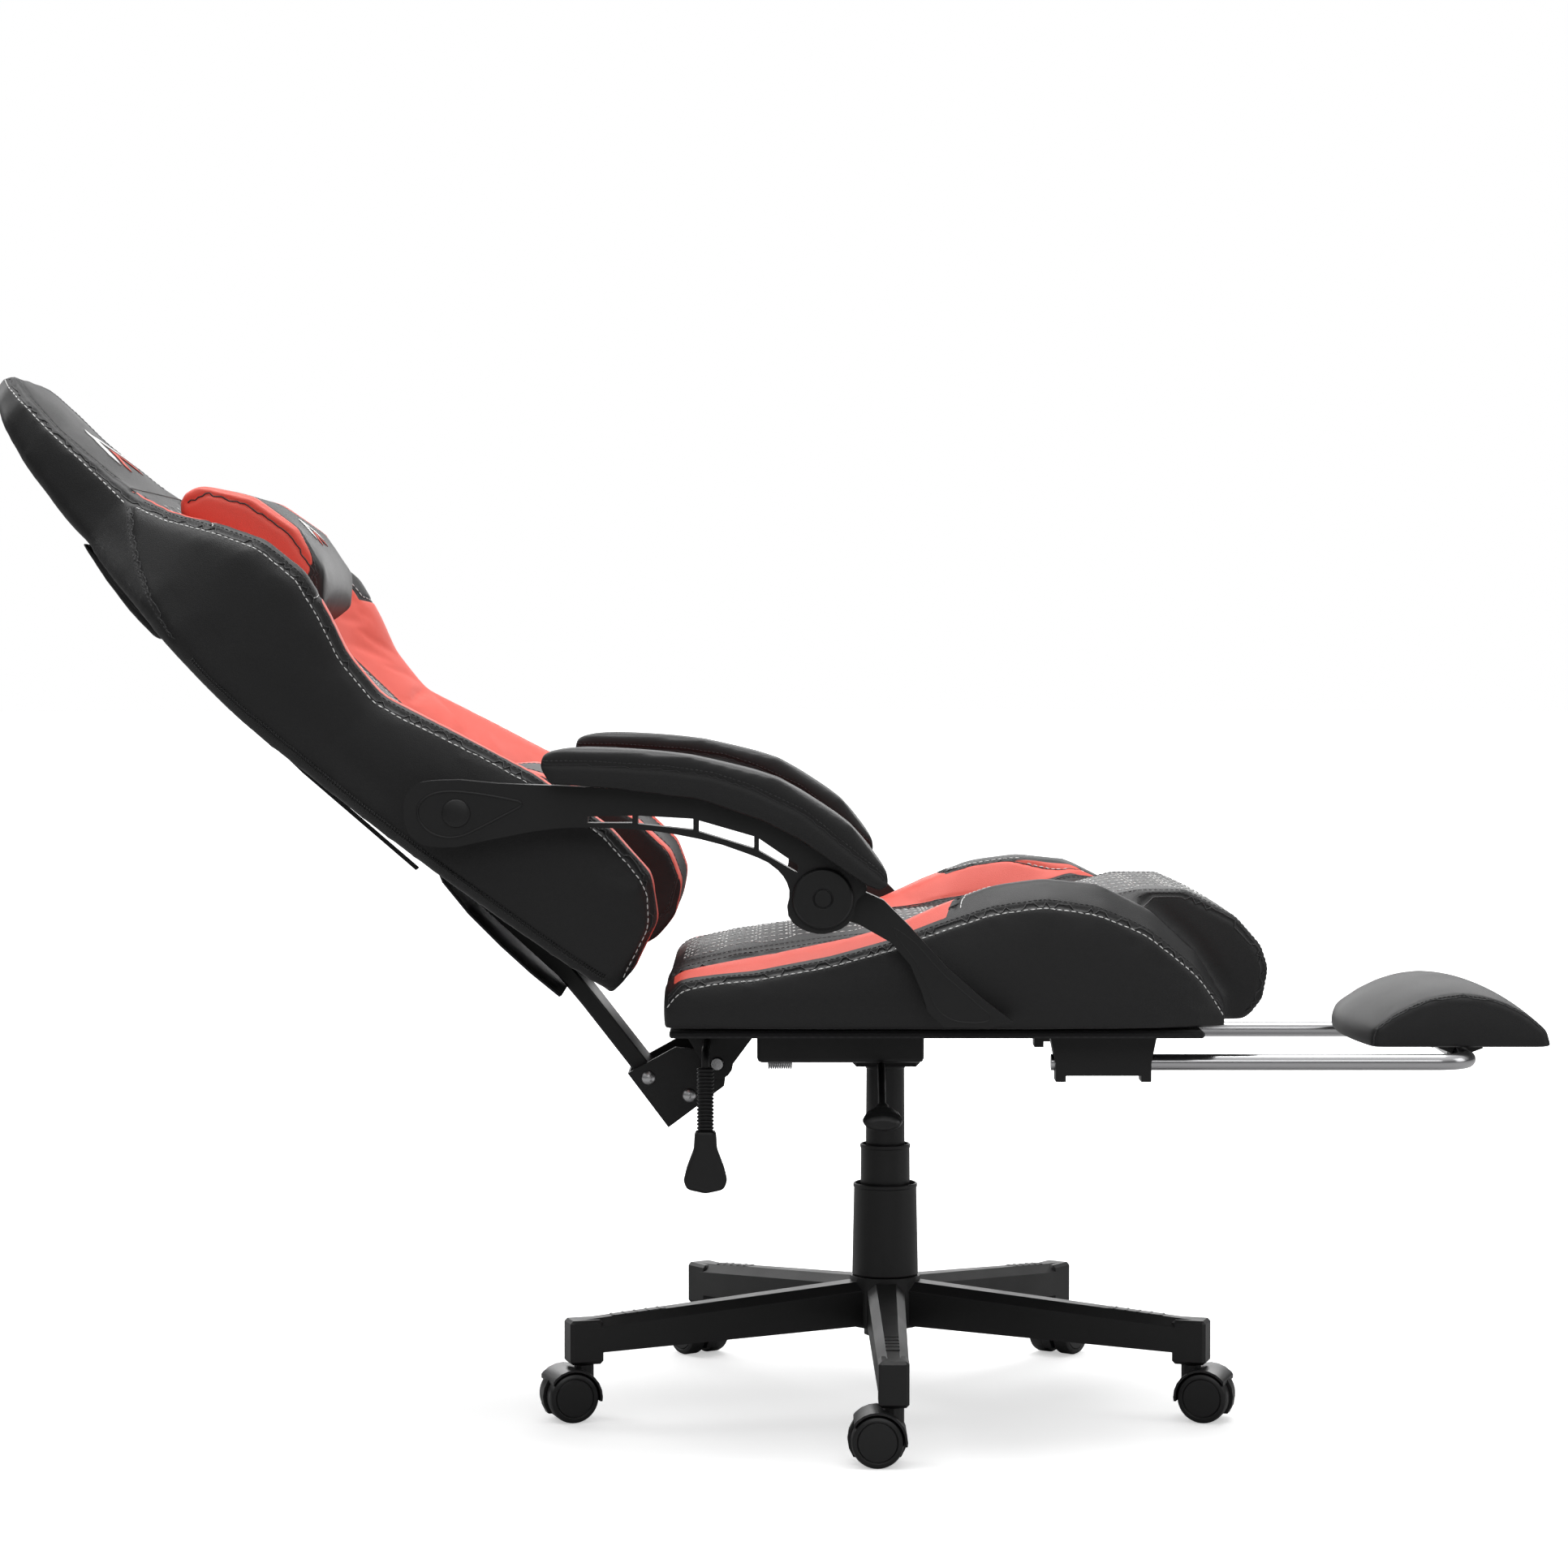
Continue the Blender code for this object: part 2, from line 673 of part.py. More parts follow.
def back_bracket(back_body):
    """The plate box that turns about the recline axle and carries the back's bar."""
    half = BRACKET_HALF
    eye = arc(RECLINE_PIVOT, 0.0145, 115, -55, 8)
    points = BRACKET_POINTS + eye + BRACKET_LOWER_POINTS
    plate = outline("back_bracket", points, -half, half)
    wall = BRACKET_WALL
    corner = Vector(BRACKET_LOWER_POINTS[-1])
    up = (Vector(BRACKET_POINTS[0]) - corner).normalized()
    across = (Vector(BRACKET_LOWER_POINTS[0]) - corner).normalized()
    corner += (up + across) * BRACKET_WEB
    inner = [corner, corner + across * 0.12, corner + (across + up) * 0.12, corner + up * 0.12]
    space = outline("space", inner, -half + wall, half - wall)
    bores = [cylinder("bore", AXLE_BOLT_RADIUS + PLAY, -SPAN, SPAN, RECLINE_PIVOT, "Y", 20)]
    for place in BOLT_PLACES.values():
        bores.append(cylinder("bore", BOLT_RADIUS + PLAY, -SPAN, SPAN, place, "Y", 16))
    part(cut(plate, space, *bores), back_body, "black_steel", 30)
    for name, place in BOLT_PLACES.items():
        head = [
            (0, half + BOLT_HEAD_HEIGHT),
            (BOLT_HEAD_RADIUS - 0.001, half + BOLT_HEAD_HEIGHT - 0.001),
            (BOLT_HEAD_RADIUS, half + GAP),
            (BOLT_RADIUS, half + GAP),
        ]
        profile = head + [(radius, -z) for radius, z in reversed(head)]
        bolt = turned(name, profile, 12)
        bolt.data.transform(Matrix.Rotation(-pi / 2, 4, "X"))
        bolt.data.transform(Matrix.Translation((place[0], 0, place[1])))
        part(bolt, back_body, "zinc_steel")


def back_bar(back_body):
    """The bar from the bracket up into the back, bent to lie along its rear."""
    line = [(-0.086, -0.0520), (0.018, -0.0355), (0.055, -0.0305), (0.172, -0.0318)]
    half = 0.0085
    rear = [along_back(u, v - half) for u, v in line]
    front = [along_back(u, v + half) for u, v in reversed(line)]
    width = BAR_HALF_WIDTH
    bar = outline("back_bar", rear + front, -width, width)
    bar = baked(rounded(bar, 0.002, 1))
    place = BOLT_PLACES["bracket_bolt_upper"]
    bore = cylinder("bore", BOLT_RADIUS + PLAY, -SPAN, SPAN, place, "Y", 16)
    part(cut(bar, bore), back_body, "black_steel", 30)


# ---------------------------------------------------------------- backrest upholstery

# Each station of a side wing: distance up the back, rear, ridge, and how far it is drawn in
WING_STATIONS = [
    (0.007, -0.001, 0.036, 0.030),
    (0.024, -0.003, 0.090, 0.016),
    (0.060, -0.009, 0.119, 0.007),
    (0.120, -0.018, 0.125, 0.004),
    (0.210, -0.030, 0.113, 0.004),
    (0.300, -0.040, 0.088, 0.010),
    (0.366, -0.046, 0.068, 0.016),
    (0.416, -0.050, 0.075, 0.012),
    (0.455, -0.051, 0.091, 0.005),
    (0.498, -0.049, 0.104, 0.000),
    (0.548, -0.046, 0.100, 0.004),
    (0.593, -0.042, 0.080, 0.022),
    (0.637, -0.040, 0.056, 0.053),
    (0.678, -0.036, 0.042, 0.086),
]

# Each station of the centre panel: distance up the back, rear, front, how far it is drawn in
PANEL_STATIONS = [
    (0.014, 0.006, 0.038, 0.000),
    (0.040, 0.002, 0.045, 0.000),
    (0.120, -0.006, 0.045, 0.000),
    (0.210, -0.018, 0.045, 0.000),
    (0.300, -0.028, 0.045, 0.000),
    (0.366, -0.034, 0.045, 0.000),
    (0.455, -0.039, 0.045, 0.000),
    (0.548, -0.036, 0.045, 0.000),
    (0.620, -0.034, 0.045, 0.000),
    (0.700, -0.030, 0.036, 0.000),
]

# The same for the head, which is as wide as the wings that end below it
HEAD_STATIONS = [
    (0.6784, -0.034, 0.042, 0.089),
    (0.710, -0.033, 0.037, 0.100),
    (0.780, -0.022, 0.033, 0.111),
    (0.825, -0.010, 0.036, 0.128),
    (0.852, 0.000, 0.038, 0.156),
    (0.868, 0.010, 0.033, 0.193),
]


def on_back(u, y, v):
    x, z = along_back(u, v)
    return (x, y, z)


def back_wing():
    """The side of the backrest: lower bolster, waist and shoulder, on the sitter's left."""
    rings = []
    inner = BACK_CENTRE_HALF + GAP
    for u, rear, ridge, inset in WING_STATIONS:
        half = BACK_HALF_WIDTH - inset
        crest_inner = inner + (half - inner) * 0.45
        ring = [
            (inner, rear + 0.012),
            (half - 0.012, rear),
            (half, rear + 0.014),
            (half, ridge - 0.022),
            (half - 0.012, ridge - 0.002),
            (half - 0.030, ridge),
            (crest_inner, max(ridge - 0.012, PANEL_FACE * 0.85)),
            (inner, min(PANEL_FACE, ridge - 0.002)),
        ]
        rings.append([on_back(u, y, v) for y, v in ring])
    return rounded(loft("back_wing_left", rings), 0.006, 1, 50)


def back_slab(name, stations, full_half):
    """An eight-sided slab through these stations, full_half wide where nothing draws it in."""
    rings = []
    for u, rear, front, inset in stations:
        half = full_half - inset
        edge = 0.010
        ring = [
            (-half + edge, rear),
            (half - edge, rear),
            (half, rear + edge),
            (half, front - edge),
            (half - edge, front),
            (-half + edge, front),
            (-half, front - edge),
            (-half, rear + edge),
        ]
        rings.append([on_back(u, y, v) for y, v in ring])
    return baked(rounded(loft(name, rings), 0.004, 1, 50))


def back_upholstery(back_body):
    middle = back_slab("back_cushion", PANEL_STATIONS, BACK_CENTRE_HALF)
    head = back_slab("head", HEAD_STATIONS, BACK_HALF_WIDTH)
    part(joined(middle, head), back_body, "black_leather", 50)
    left = back_wing()
    right = mirrored(left, "back_wing_right")
    part(left, back_body, "black_leather", 50)
    part(right, back_body, "black_leather", 50)


def back_covers(back_body):
    """The moulded cover over the bar, and the padded one where the straps go in."""
    outer = [(0.043, -0.0475), (0.080, -0.0500), (0.120, -0.0505), (0.165, -0.0490),
             (0.205, -0.0435), (0.228, -0.0330)]
    wall = 0.003
    points = [along_back(u, v) for u, v in outer]
    points += [along_back(u - 0.001, v + wall) for u, v in reversed(outer)]
    part(outline("back_lower_cover", points, -0.100, 0.100), back_body, "black_plastic", 30)
    upper = [(0.566, -0.0400), (0.566, -0.0560), (0.575, -0.0590), (0.610, -0.0570),
             (0.650, -0.0500), (0.694, -0.0390), (0.690, -0.0350), (0.620, -0.0370)]
    points = [along_back(u, v) for u, v in upper]
    cover = outline("back_upper_cover", points, -0.125, 0.125)
    part(rounded(cover, 0.003, 2, 60), back_body, "black_leather", 30)


def straps(back_body):
    """Flat straps stretched behind the hollow of the back, which hold the loose cushions."""
    line = [(0.5655, -0.0520), (0.380, -0.0560), (0.232, -0.0500)]
    half = STRAP_THICK / 2
    outside = [along_back(u, v - half) for u, v in line]
    inside = [along_back(u, v + half) for u, v in reversed(line)]
    for name, side in (("strap_left", 1), ("strap_right", -1)):
        low = side * STRAP_Y - STRAP_WIDTH / 2
        strap = outline(name, outside + inside, low, low + STRAP_WIDTH)
        part(strap, back_body, "black_webbing", 0)


def loose_cushions(lumbar_body, pillow_body):
    face = PANEL_FACE + 0.0006
    profile = [(0.016, face), (0.255, face), (0.250, 0.070), (0.225, 0.098), (0.170, 0.125),
               (0.110, 0.139), (0.060, 0.139), (0.030, 0.124), (0.012, 0.095), (0.010, 0.065)]
    points = [along_back(u, v) for u, v in profile]
    half = BACK_CENTRE_HALF - LUMBAR_MARGIN
    lumbar = outline("lumbar_cushion", points, -half, half)
    part(rounded(lumbar, 0.012, 2, 50), lumbar_body, "black_leather", 50)
    profile = [(0.478, face), (0.640, face), (0.655, 0.062), (0.645, 0.085), (0.600, 0.112),
               (0.545, 0.120), (0.495, 0.108), (0.472, 0.080)]
    points = [along_back(u, v) for u, v in profile]
    half = BACK_CENTRE_HALF - PILLOW_MARGIN
    pillow = outline("head_pillow", points, -half, half)
    part(rounded(pillow, 0.012, 2, 50), pillow_body, "black_leather", 50)


# ---------------------------------------------------------------- linked armrests

FRAME_POINTS = [
    (-0.4590, 0.6120), (-0.4520, 0.6360), (-0.4250, 0.6430), (-0.3700, 0.6400),
    (-0.3000, 0.6370), (-0.1900, 0.6270), (-0.1250, 0.6080), (-0.0750, 0.5780),
    (-0.0250, 0.5420), (-0.0350, 0.5300), (-0.0400, 0.5120), (-0.0560, 0.5010),
    (-0.0800, 0.5010), (-0.0990, 0.5160), (-0.0980, 0.5400), (-0.1090, 0.5590),
    (-0.1380, 0.5745), (-0.2050, 0.5925), (-0.2600, 0.5980), (-0.3200, 0.5975),
    (-0.3800, 0.5870), (-0.4250, 0.5800), (-0.4500, 0.5880),
]

# The windows in the strip under the armrest: each is its rear end, then its front end, and at
# each end the lower and the upper corner
FRAME_WINDOWS = [
    ((-0.2870, 0.6030), (-0.2870, 0.6090), (-0.2450, 0.6030), (-0.2450, 0.6100)),
    ((-0.2400, 0.6022), (-0.2400, 0.6100), (-0.1880, 0.5965), (-0.1880, 0.6070)),
    ((-0.1830, 0.5950), (-0.1830, 0.6055), (-0.1310, 0.5790), (-0.1310, 0.5905)),
    ((-0.1265, 0.5770), (-0.1265, 0.5885), (-0.0900, 0.5560), (-0.0900, 0.5635)),
]

ARM_PAD_POINTS = [
    (-0.3320, 0.6560), (-0.3280, 0.6700), (-0.3100, 0.6745), (-0.2500, 0.6730),
    (-0.1900, 0.6680), (-0.1076, 0.6470), (-0.0392, 0.6030), (-0.0060, 0.5600),
    (-0.0035, 0.5440), (-0.0140, 0.5385), (-0.0280, 0.5445), (-0.0533, 0.5615),
    (-0.0887, 0.5863), (-0.1241, 0.6044), (-0.1813, 0.6240), (-0.2663, 0.6345),
    (-0.3220, 0.6385),
]


def arm_frame(side_name, side, arm_body):
    """The arched moulding between the armrest's two joints, with a strip of windows below."""
    frame = outline("arm_frame", FRAME_POINTS, FRAME_INNER, FRAME_OUTER, smooth=True)
    holes = [
        cylinder("bore", REAR_BOLT_RADIUS + PLAY, 0, SPAN, ARM_REAR_PIVOT, "Y", 20),
        cylinder("bore", ARM_PIN_RADIUS + GAP, 0, SPAN, ARM_FRONT_PIVOT, "Y", 16),
    ]
    for rear_low, rear_high, front_low, front_high in FRAME_WINDOWS:
        corners = [rear_low, front_low, front_high, rear_high]
        holes.append(outline("window", corners, 0, SPAN))
    placed(cut(frame, *holes), f"arm_frame_{side_name}", side, arm_body, "black_plastic")


def placed(obj, name, side, body, material, angle=40, bevel=None):
    """Puts a left-hand shape on its side of the chair."""
    if side < 0:
        other = mirrored(obj, name)
        bpy.data.objects.remove(obj)
        obj = other
    obj.name = name
    if bevel:
        rounded(obj, *bevel)
    return part(obj, body, material, angle)


def arm_pad(side_name, side, arm_body):
    pad = outline("arm_pad", [(x, z + 0.0004) for x, z in ARM_PAD_POINTS], PAD_INNER, PAD_OUTER)
    trench = outline("trench", FRAME_POINTS, FRAME_INNER - GAP, FRAME_OUTER + GAP, smooth=True)
    trench.data.transform(Matrix.Translation((0, 0, GAP)))
    pad = cut(baked(rounded(pad, 0.010, 2, 50)), trench)
    return placed(pad, f"arm_pad_{side_name}", side, arm_body, "black_leather", 50)


def arm_disc(side_name, side, arm_body):
    """The round cover of the front joint, with the pin that sits loosely in the post's eye."""
    outer = FRAME_OUTER + DISC_THICK
    profile = [
        (0, outer - 0.0008),
        (0.0085, outer - 0.0008),
        (0.0095, outer),
        (DISC_RADIUS - 0.0015, outer),
        (DISC_RADIUS, outer - 0.0015),
        (DISC_RADIUS, FRAME_OUTER + GAP),
        (ARM_PIN_RADIUS, FRAME_OUTER + GAP),
        (ARM_PIN_RADIUS, POST_INNER + 0.004),
        (0, POST_INNER + 0.004),
    ]
    disc = turned("arm_disc", profile, 24)
    disc.data.transform(Matrix.Rotation(-pi / 2, 4, "X"))
    disc.data.transform(Matrix.Translation((ARM_FRONT_PIVOT[0], 0, ARM_FRONT_PIVOT[1])))
    return placed(disc, f"arm_disc_{side_name}", side, arm_body, "black_plastic")


def arm_rear_pivot(side_name, side, back_body):
    """The flanged bolt on the back's side that the armrest turns on."""
    profile = [
        (0, FRAME_OUTER + 0.0035),
        (REAR_CAP_RADIUS - 0.001, FRAME_OUTER + 0.0035),
        (REAR_CAP_RADIUS, FRAME_OUTER + 0.0025),
        (REAR_CAP_RADIUS, FRAME_OUTER + PLAY),
        (REAR_BOLT_RADIUS, FRAME_OUTER + PLAY),
        (REAR_BOLT_RADIUS, FRAME_INNER - PLAY),
        (REAR_FLANGE_RADIUS, FRAME_INNER - PLAY),
        (REAR_FLANGE_RADIUS, SEAT_HALF_WIDTH + PLAY),
        (0, SEAT_HALF_WIDTH + PLAY),
    ]
    bolt = turned("rear_pivot", profile, 18)
    bolt.data.transform(Matrix.Rotation(-pi / 2, 4, "X"))
    bolt.data.transform(Matrix.Translation((ARM_REAR_PIVOT[0], 0, ARM_REAR_PIVOT[1])))
    return placed(bolt, f"arm_rear_pivot_{side_name}", side, back_body, "black_plastic")


def arm_post(side_name, side, post_body, seat_body):
    """The wedge that rocks on the seat's side and carries the front of the armrest."""
    eye_x, eye_z = ARM_FRONT_PIVOT
    points = [
        (-0.0090, 0.5290), (0.0150, 0.5050), (0.0500, 0.4660), (0.0850, 0.4350),
        (0.1140, 0.4130), (0.0900, 0.4080), (0.0480, 0.4090), (0.0330, 0.4230),
        (0.0270, 0.4420), (0.0160, 0.4680), (-0.0020, 0.4890), (-0.0320, 0.5060),
    ]
    eye = arc((eye_x, eye_z), 0.0212, -60, -310, 12)
    post = outline("arm_post", points + eye, POST_INNER, POST_OUTER)
    play = ARM_PIN_RADIUS + OPEN_PIVOT_PLAY
    bores = [
        cylinder("eye", play, 0, SPAN, ARM_FRONT_PIVOT, "Y", 20),
        cylinder("bore", POST_PIN_RADIUS + PLAY, 0, POST_OUTER - 0.005, POST_PIVOT, "Y", 20),
    ]
    placed(cut(post, *bores), f"arm_post_{side_name}", side, post_body, "black_plastic")
    profile = [
        (0, POST_OUTER - 0.006),
        (POST_PIN_RADIUS, POST_OUTER - 0.006),
        (POST_PIN_RADIUS, POST_INNER - PLAY),
        (POST_SPACER_RADIUS, POST_INNER - PLAY),
        (POST_SPACER_RADIUS, SEAT_HALF_WIDTH + PLAY),
        (0, SEAT_HALF_WIDTH + PLAY),
    ]
    pin = turned("post_pin", profile, 16)
    pin.data.transform(Matrix.Rotation(-pi / 2, 4, "X"))
    pin.data.transform(Matrix.Translation((POST_PIVOT[0], 0, POST_PIVOT[1])))
    placed(pin, f"post_pin_{side_name}", side, seat_body, "zinc_steel")


# ---------------------------------------------------------------- footrest

def footrest_guides(seat_body):
    """The brackets under the seat that the rails slide in."""
    top = SEAT_BOTTOM - GAP
    half = 0.0145
    low = RAIL_Z - RAIL_RADIUS - 0.004
    points = [(GUIDE_REAR - 0.006, top), (GUIDE_REAR, low + 0.012), (GUIDE_REAR, low - 0.006),
              (GUIDE_REAR + 0.010, low - 0.006), (GUIDE_REAR + 0.010, low),
              (GUIDE_FRONT - 0.010, low), (GUIDE_FRONT - 0.010, low - 0.006),
              (GUIDE_FRONT, low - 0.006), (GUIDE_FRONT, low + 0.012), (GUIDE_FRONT + 0.006, top)]
    body = outline("footrest_guide_left", points, RAIL_HALF - half, RAIL_HALF + half)
    bore = cylinder("bore", RAIL_RADIUS + PLAY, -SPAN, SPAN, (RAIL_HALF, RAIL_Z), "X", 20)
    left = cut(body, bore)
    right = mirrored(left, "footrest_guide_right")
    part(left, seat_body, "black_steel", 30)
    part(right, seat_body, "black_steel", 30)


def footrest(slide_body, flip_body):
    """The U-shaped rail, the pad above its crossbar and the clips that hold the pad to it."""
    bend = RAIL_BEND
    corner = (CROSSBAR_X - bend, RAIL_HALF - bend)
    curve = arc(corner, bend, 0, 90, 7)
    near = [(x, -y, RAIL_Z) for x, y in reversed(curve)]
    far = [(x, y, RAIL_Z) for x, y in curve]
    route = [(RAIL_REAR, -RAIL_HALF, RAIL_Z)] + near + far + [(RAIL_REAR, RAIL_HALF, RAIL_Z)]
    part(tube("footrest_rails", route, RAIL_RADIUS), slide_body, "chrome")
    length = REST_FRONT - REST_REAR
    low = REST_BOTTOM
    points = [(REST_REAR, low), (REST_REAR + 0.002, low + 0.022)]
    for i in range(1, 8):
        share = i / 8
        x = REST_REAR + 0.004 + (length - 0.010) * share
        points.append((x, low + 0.022 + (REST_HEIGHT - 0.022) * sin(pi * share) ** 0.8))
    points += [(REST_FRONT - 0.004, low + 0.020), (REST_FRONT, low)]
    pad = outline("footrest_pad", points, -REST_HALF, REST_HALF)
    pad = baked(rounded(pad, 0.006, 2, 50))
    part(pad, flip_body, "black_leather", 40)
    for name, side in (("footrest_clip_left", 1), ("footrest_clip_right", -1)):
        middle = side * REST_HALF * 0.6
        inner = RAIL_RADIUS + PLAY
        outer = inner + 0.002
        top = REST_BOTTOM - GAP
        place = (CROSSBAR_X, RAIL_Z)
        points = [(CROSSBAR_X - 0.022, top), (CROSSBAR_X - 0.022, top - 0.002)]
        points += arc(place, outer, 170, 370, 10)
        points += [(CROSSBAR_X + 0.022, top - 0.002), (CROSSBAR_X + 0.022, top)]
        clip = outline(name, points, middle - 0.010, middle + 0.010)
        bore = cylinder("bore", inner, -0.5, 0.5, place, "Y", 20)
        slot_half = inner * 0.6
        low = (CROSSBAR_X - slot_half, -SPAN, RAIL_Z)
        slot = box("slot", low, (CROSSBAR_X + slot_half, SPAN, REST_BOTTOM + REST_HEIGHT))
        part(cut(clip, bore, slot), flip_body, "black_steel", 30)


# ---------------------------------------------------------------- levers

def recline_lever(lever_body):
    """A bent rod inside a ribbed hose, with a flat paddle at its end."""
    x, y, z = RECLINE_LEVER
    start = -(BRACKET_HALF + 0.003 + EAR_THICK + 0.0015)
    bend = 0.012
    route = [(x, start, z), (x, y + bend, z)]
    route += [(x, py, pz) for py, pz in arc((y + bend, z - bend), bend, 90, 180, 5)][1:]
    route += [(x, y, z - 0.030)]
    rod = tube("rod", route, 0.004, 1)
    top = z - 0.016
    ribs = 5
    profile = [(0, top)]
    for i in range(ribs):
        here = top - (top - HOSE_BOTTOM) * i / ribs
        pitch = (top - HOSE_BOTTOM) / ribs
        profile += [(HOSE_RADIUS - 0.0016, here), (HOSE_RADIUS, here - pitch * 0.3),
                    (HOSE_RADIUS, here - pitch * 0.7)]
    profile += [(HOSE_RADIUS - 0.0016, HOSE_BOTTOM), (0, HOSE_BOTTOM)]
    hose = turned("recline_lever_hose", profile, 12)
    hose.data.transform(Matrix.Translation((x, y, 0)))
    part(joined(hose, rod), lever_body, "black_plastic", 30)
    high = HOSE_BOTTOM - GAP
    low = high - PADDLE_LENGTH
    half = PADDLE_HALF
    points = [(x - 0.0105, high), (x + 0.0105, high), (x + 0.0115, high - 0.018),
              (x + half * 0.85, low + 0.026), (x + half, low + 0.013), (x + half * 0.86, low + 0.004),
              (x, low), (x - half * 0.86, low + 0.004), (x - half, low + 0.013),
              (x - half * 0.85, low + 0.026), (x - 0.0115, high - 0.018)]
    paddle = outline("recline_lever_paddle", points, y - 0.009, y + 0.009)
    part(rounded(paddle, 0.003, 2, 40), lever_body, "black_plastic")


def height_lever(lever_body):
    x, y, z = HEIGHT_LEVER
    tip = Vector(HEIGHT_LEVER_TIP)
    start = Vector((x, y, z))
    joint = start.lerp(tip, 0.72)
    rod = tube("height_lever_rod", [start, joint], 0.004, 2)
    part(rod, lever_body, "black_steel")
    along = (tip - start).normalized()
    length = (tip - joint).length
    rings = []
    for share, half, thick in ((0.0, 0.007, 0.006), (0.2, 0.008, 0.006), (0.45, 0.017, 0.008),
                               (0.75, 0.020, 0.009), (0.93, 0.018, 0.008), (1.0, 0.013, 0.005)):
        middle = joint + along * (length * share + 0.002)
        ring = []
        for i in range(12):
            angle = i * pi / 6
            ring.append(middle + Vector((half * cos(angle), 0, thick * sin(angle))))
        rings.append(ring)
    part(loft("height_lever_paddle", rings), lever_body, "black_plastic", 60)


# ---------------------------------------------------------------- the chair

def at(x, z, y=0.0):
    return (HUB_X + x, y, z)


def build():
    base = pivot("base", at(0, 0))
    star_base(base)
    middle = pivot("lift_middle", at(0, HUB_TOP), base)
    lift = pivot("lift", at(0, HUB_TOP), base)
    seat_body = pivot("seat", at(0, SOCKET_BOTTOM), lift)
    back_body = pivot("back", at(*RECLINE_PIVOT), seat_body)
    slide = pivot("footrest_slide", at(CROSSBAR_X, RAIL_Z), seat_body)
    flip = pivot("footrest_flip", at(CROSSBAR_X, RAIL_Z), slide)
    lever_x, lever_y, lever_z = RECLINE_LEVER
    tilt_lever = pivot("recline_lever", at(lever_x, lever_z, lever_y), seat_body)
    lever_x, lever_y, lever_z = HEIGHT_LEVER
    lift_lever = pivot("height_lever", at(lever_x, lever_z, lever_y), seat_body)
    gas_lift(base, middle, lift)
    seat(seat_body)
    mechanism(seat_body)
    recline_hinge(seat_body, back_body)
    back_bar(back_body)
    back_upholstery(back_body)
    back_covers(back_body)
    straps(back_body)
    lumbar = pivot("lumbar", at(*along_back(0.1, PANEL_FACE)), back_body)
    pillow = pivot("pillow", at(*along_back(0.55, PANEL_FACE)), back_body)
    loose_cushions(lumbar, pillow)
    for side_name, side in (("left", 1), ("right", -1)):
        arm_y = side * FRAME_INNER
        arm = pivot(f"arm_{side_name}", at(*ARM_REAR_PIVOT, arm_y), back_body)
        post = pivot(f"post_{side_name}", at(*POST_PIVOT, arm_y), seat_body)
        arm_frame(side_name, side, arm)
        arm_pad(side_name, side, arm)
        arm_disc(side_name, side, arm)
        arm_rear_pivot(side_name, side, back_body)
        arm_post(side_name, side, post, seat_body)
    footrest_guides(seat_body)
    footrest(slide, flip)
    recline_lever(tilt_lever)
    height_lever(lift_lever)
    move_to_origin()
    casters(base)


def move_to_origin():
    """Everything above is drawn from the lift's axis, so each mesh moves HUB_X forwards."""
    for obj in parts.objects:
        if obj.type == "MESH":
            obj.data.transform(Matrix.Translation((HUB_X, 0, 0)))


clear_scene()
parts = new_collection("gaming_chair")
cutters = new_collection("cutters")
materials = make_materials()
build()
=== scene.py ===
# %% [markdown]
# # A reclining gaming chair with a footrest
#
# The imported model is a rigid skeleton: every piece has its real size and place, but the soft
# pieces are plain blocks and nothing has a finish. This script loads that skeleton, upholsters
# it, refines the moulded and turned pieces, and lights the chair in a plain studio.
# The skeleton itself is never moved, so each new piece is made where its own solid already is.

import json
from math import cos, pi, radians, sin

import bmesh
import bpy
import numpy as np
from mathutils import Matrix, Vector
from mathutils.bvhtree import BVHTree
from mathutils.kdtree import KDTree


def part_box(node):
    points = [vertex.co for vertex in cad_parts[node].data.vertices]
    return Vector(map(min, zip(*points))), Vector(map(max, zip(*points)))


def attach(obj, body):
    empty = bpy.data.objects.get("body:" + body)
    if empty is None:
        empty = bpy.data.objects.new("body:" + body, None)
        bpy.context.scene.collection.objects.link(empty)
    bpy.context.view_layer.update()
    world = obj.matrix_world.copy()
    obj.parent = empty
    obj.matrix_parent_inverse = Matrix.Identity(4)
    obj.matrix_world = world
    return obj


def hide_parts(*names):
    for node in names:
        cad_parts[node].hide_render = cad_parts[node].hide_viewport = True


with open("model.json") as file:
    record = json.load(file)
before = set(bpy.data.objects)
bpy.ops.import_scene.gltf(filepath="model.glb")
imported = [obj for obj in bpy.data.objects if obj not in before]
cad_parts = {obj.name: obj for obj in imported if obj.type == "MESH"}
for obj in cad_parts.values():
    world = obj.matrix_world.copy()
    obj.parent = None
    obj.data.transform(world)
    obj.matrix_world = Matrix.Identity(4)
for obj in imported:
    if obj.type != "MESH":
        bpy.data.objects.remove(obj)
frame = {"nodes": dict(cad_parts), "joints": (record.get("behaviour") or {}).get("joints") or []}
nodes = frame["nodes"]
joints = {joint["name"]: joint for joint in frame["joints"]}
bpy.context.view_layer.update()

# %% [markdown]
# ## Where things are
#
# Two directions do most of the work. The seat is described by x and z. The backrest leans back,
# so it is easier to think of a distance u up its rear line and a distance v ahead of it. The
# swivel joint gives the lift's axis, and the lean is that of the backrest when fully reclined.

# %% Directions shared by the pieces
LIFT_X = joints["seat_swivel"]["pos_m"][0]
BACK_FOOT = Vector((LIFT_X - 0.262, 0, 0.426))
LEAN = radians(43.1)
UP_BACK = Vector((-cos(LEAN), 0, sin(LEAN)))
OUT_BACK = Vector((sin(LEAN), 0, cos(LEAN)))
LEFT = Vector((0, 1, 0))
SIDES = {"left": 1, "right": -1}


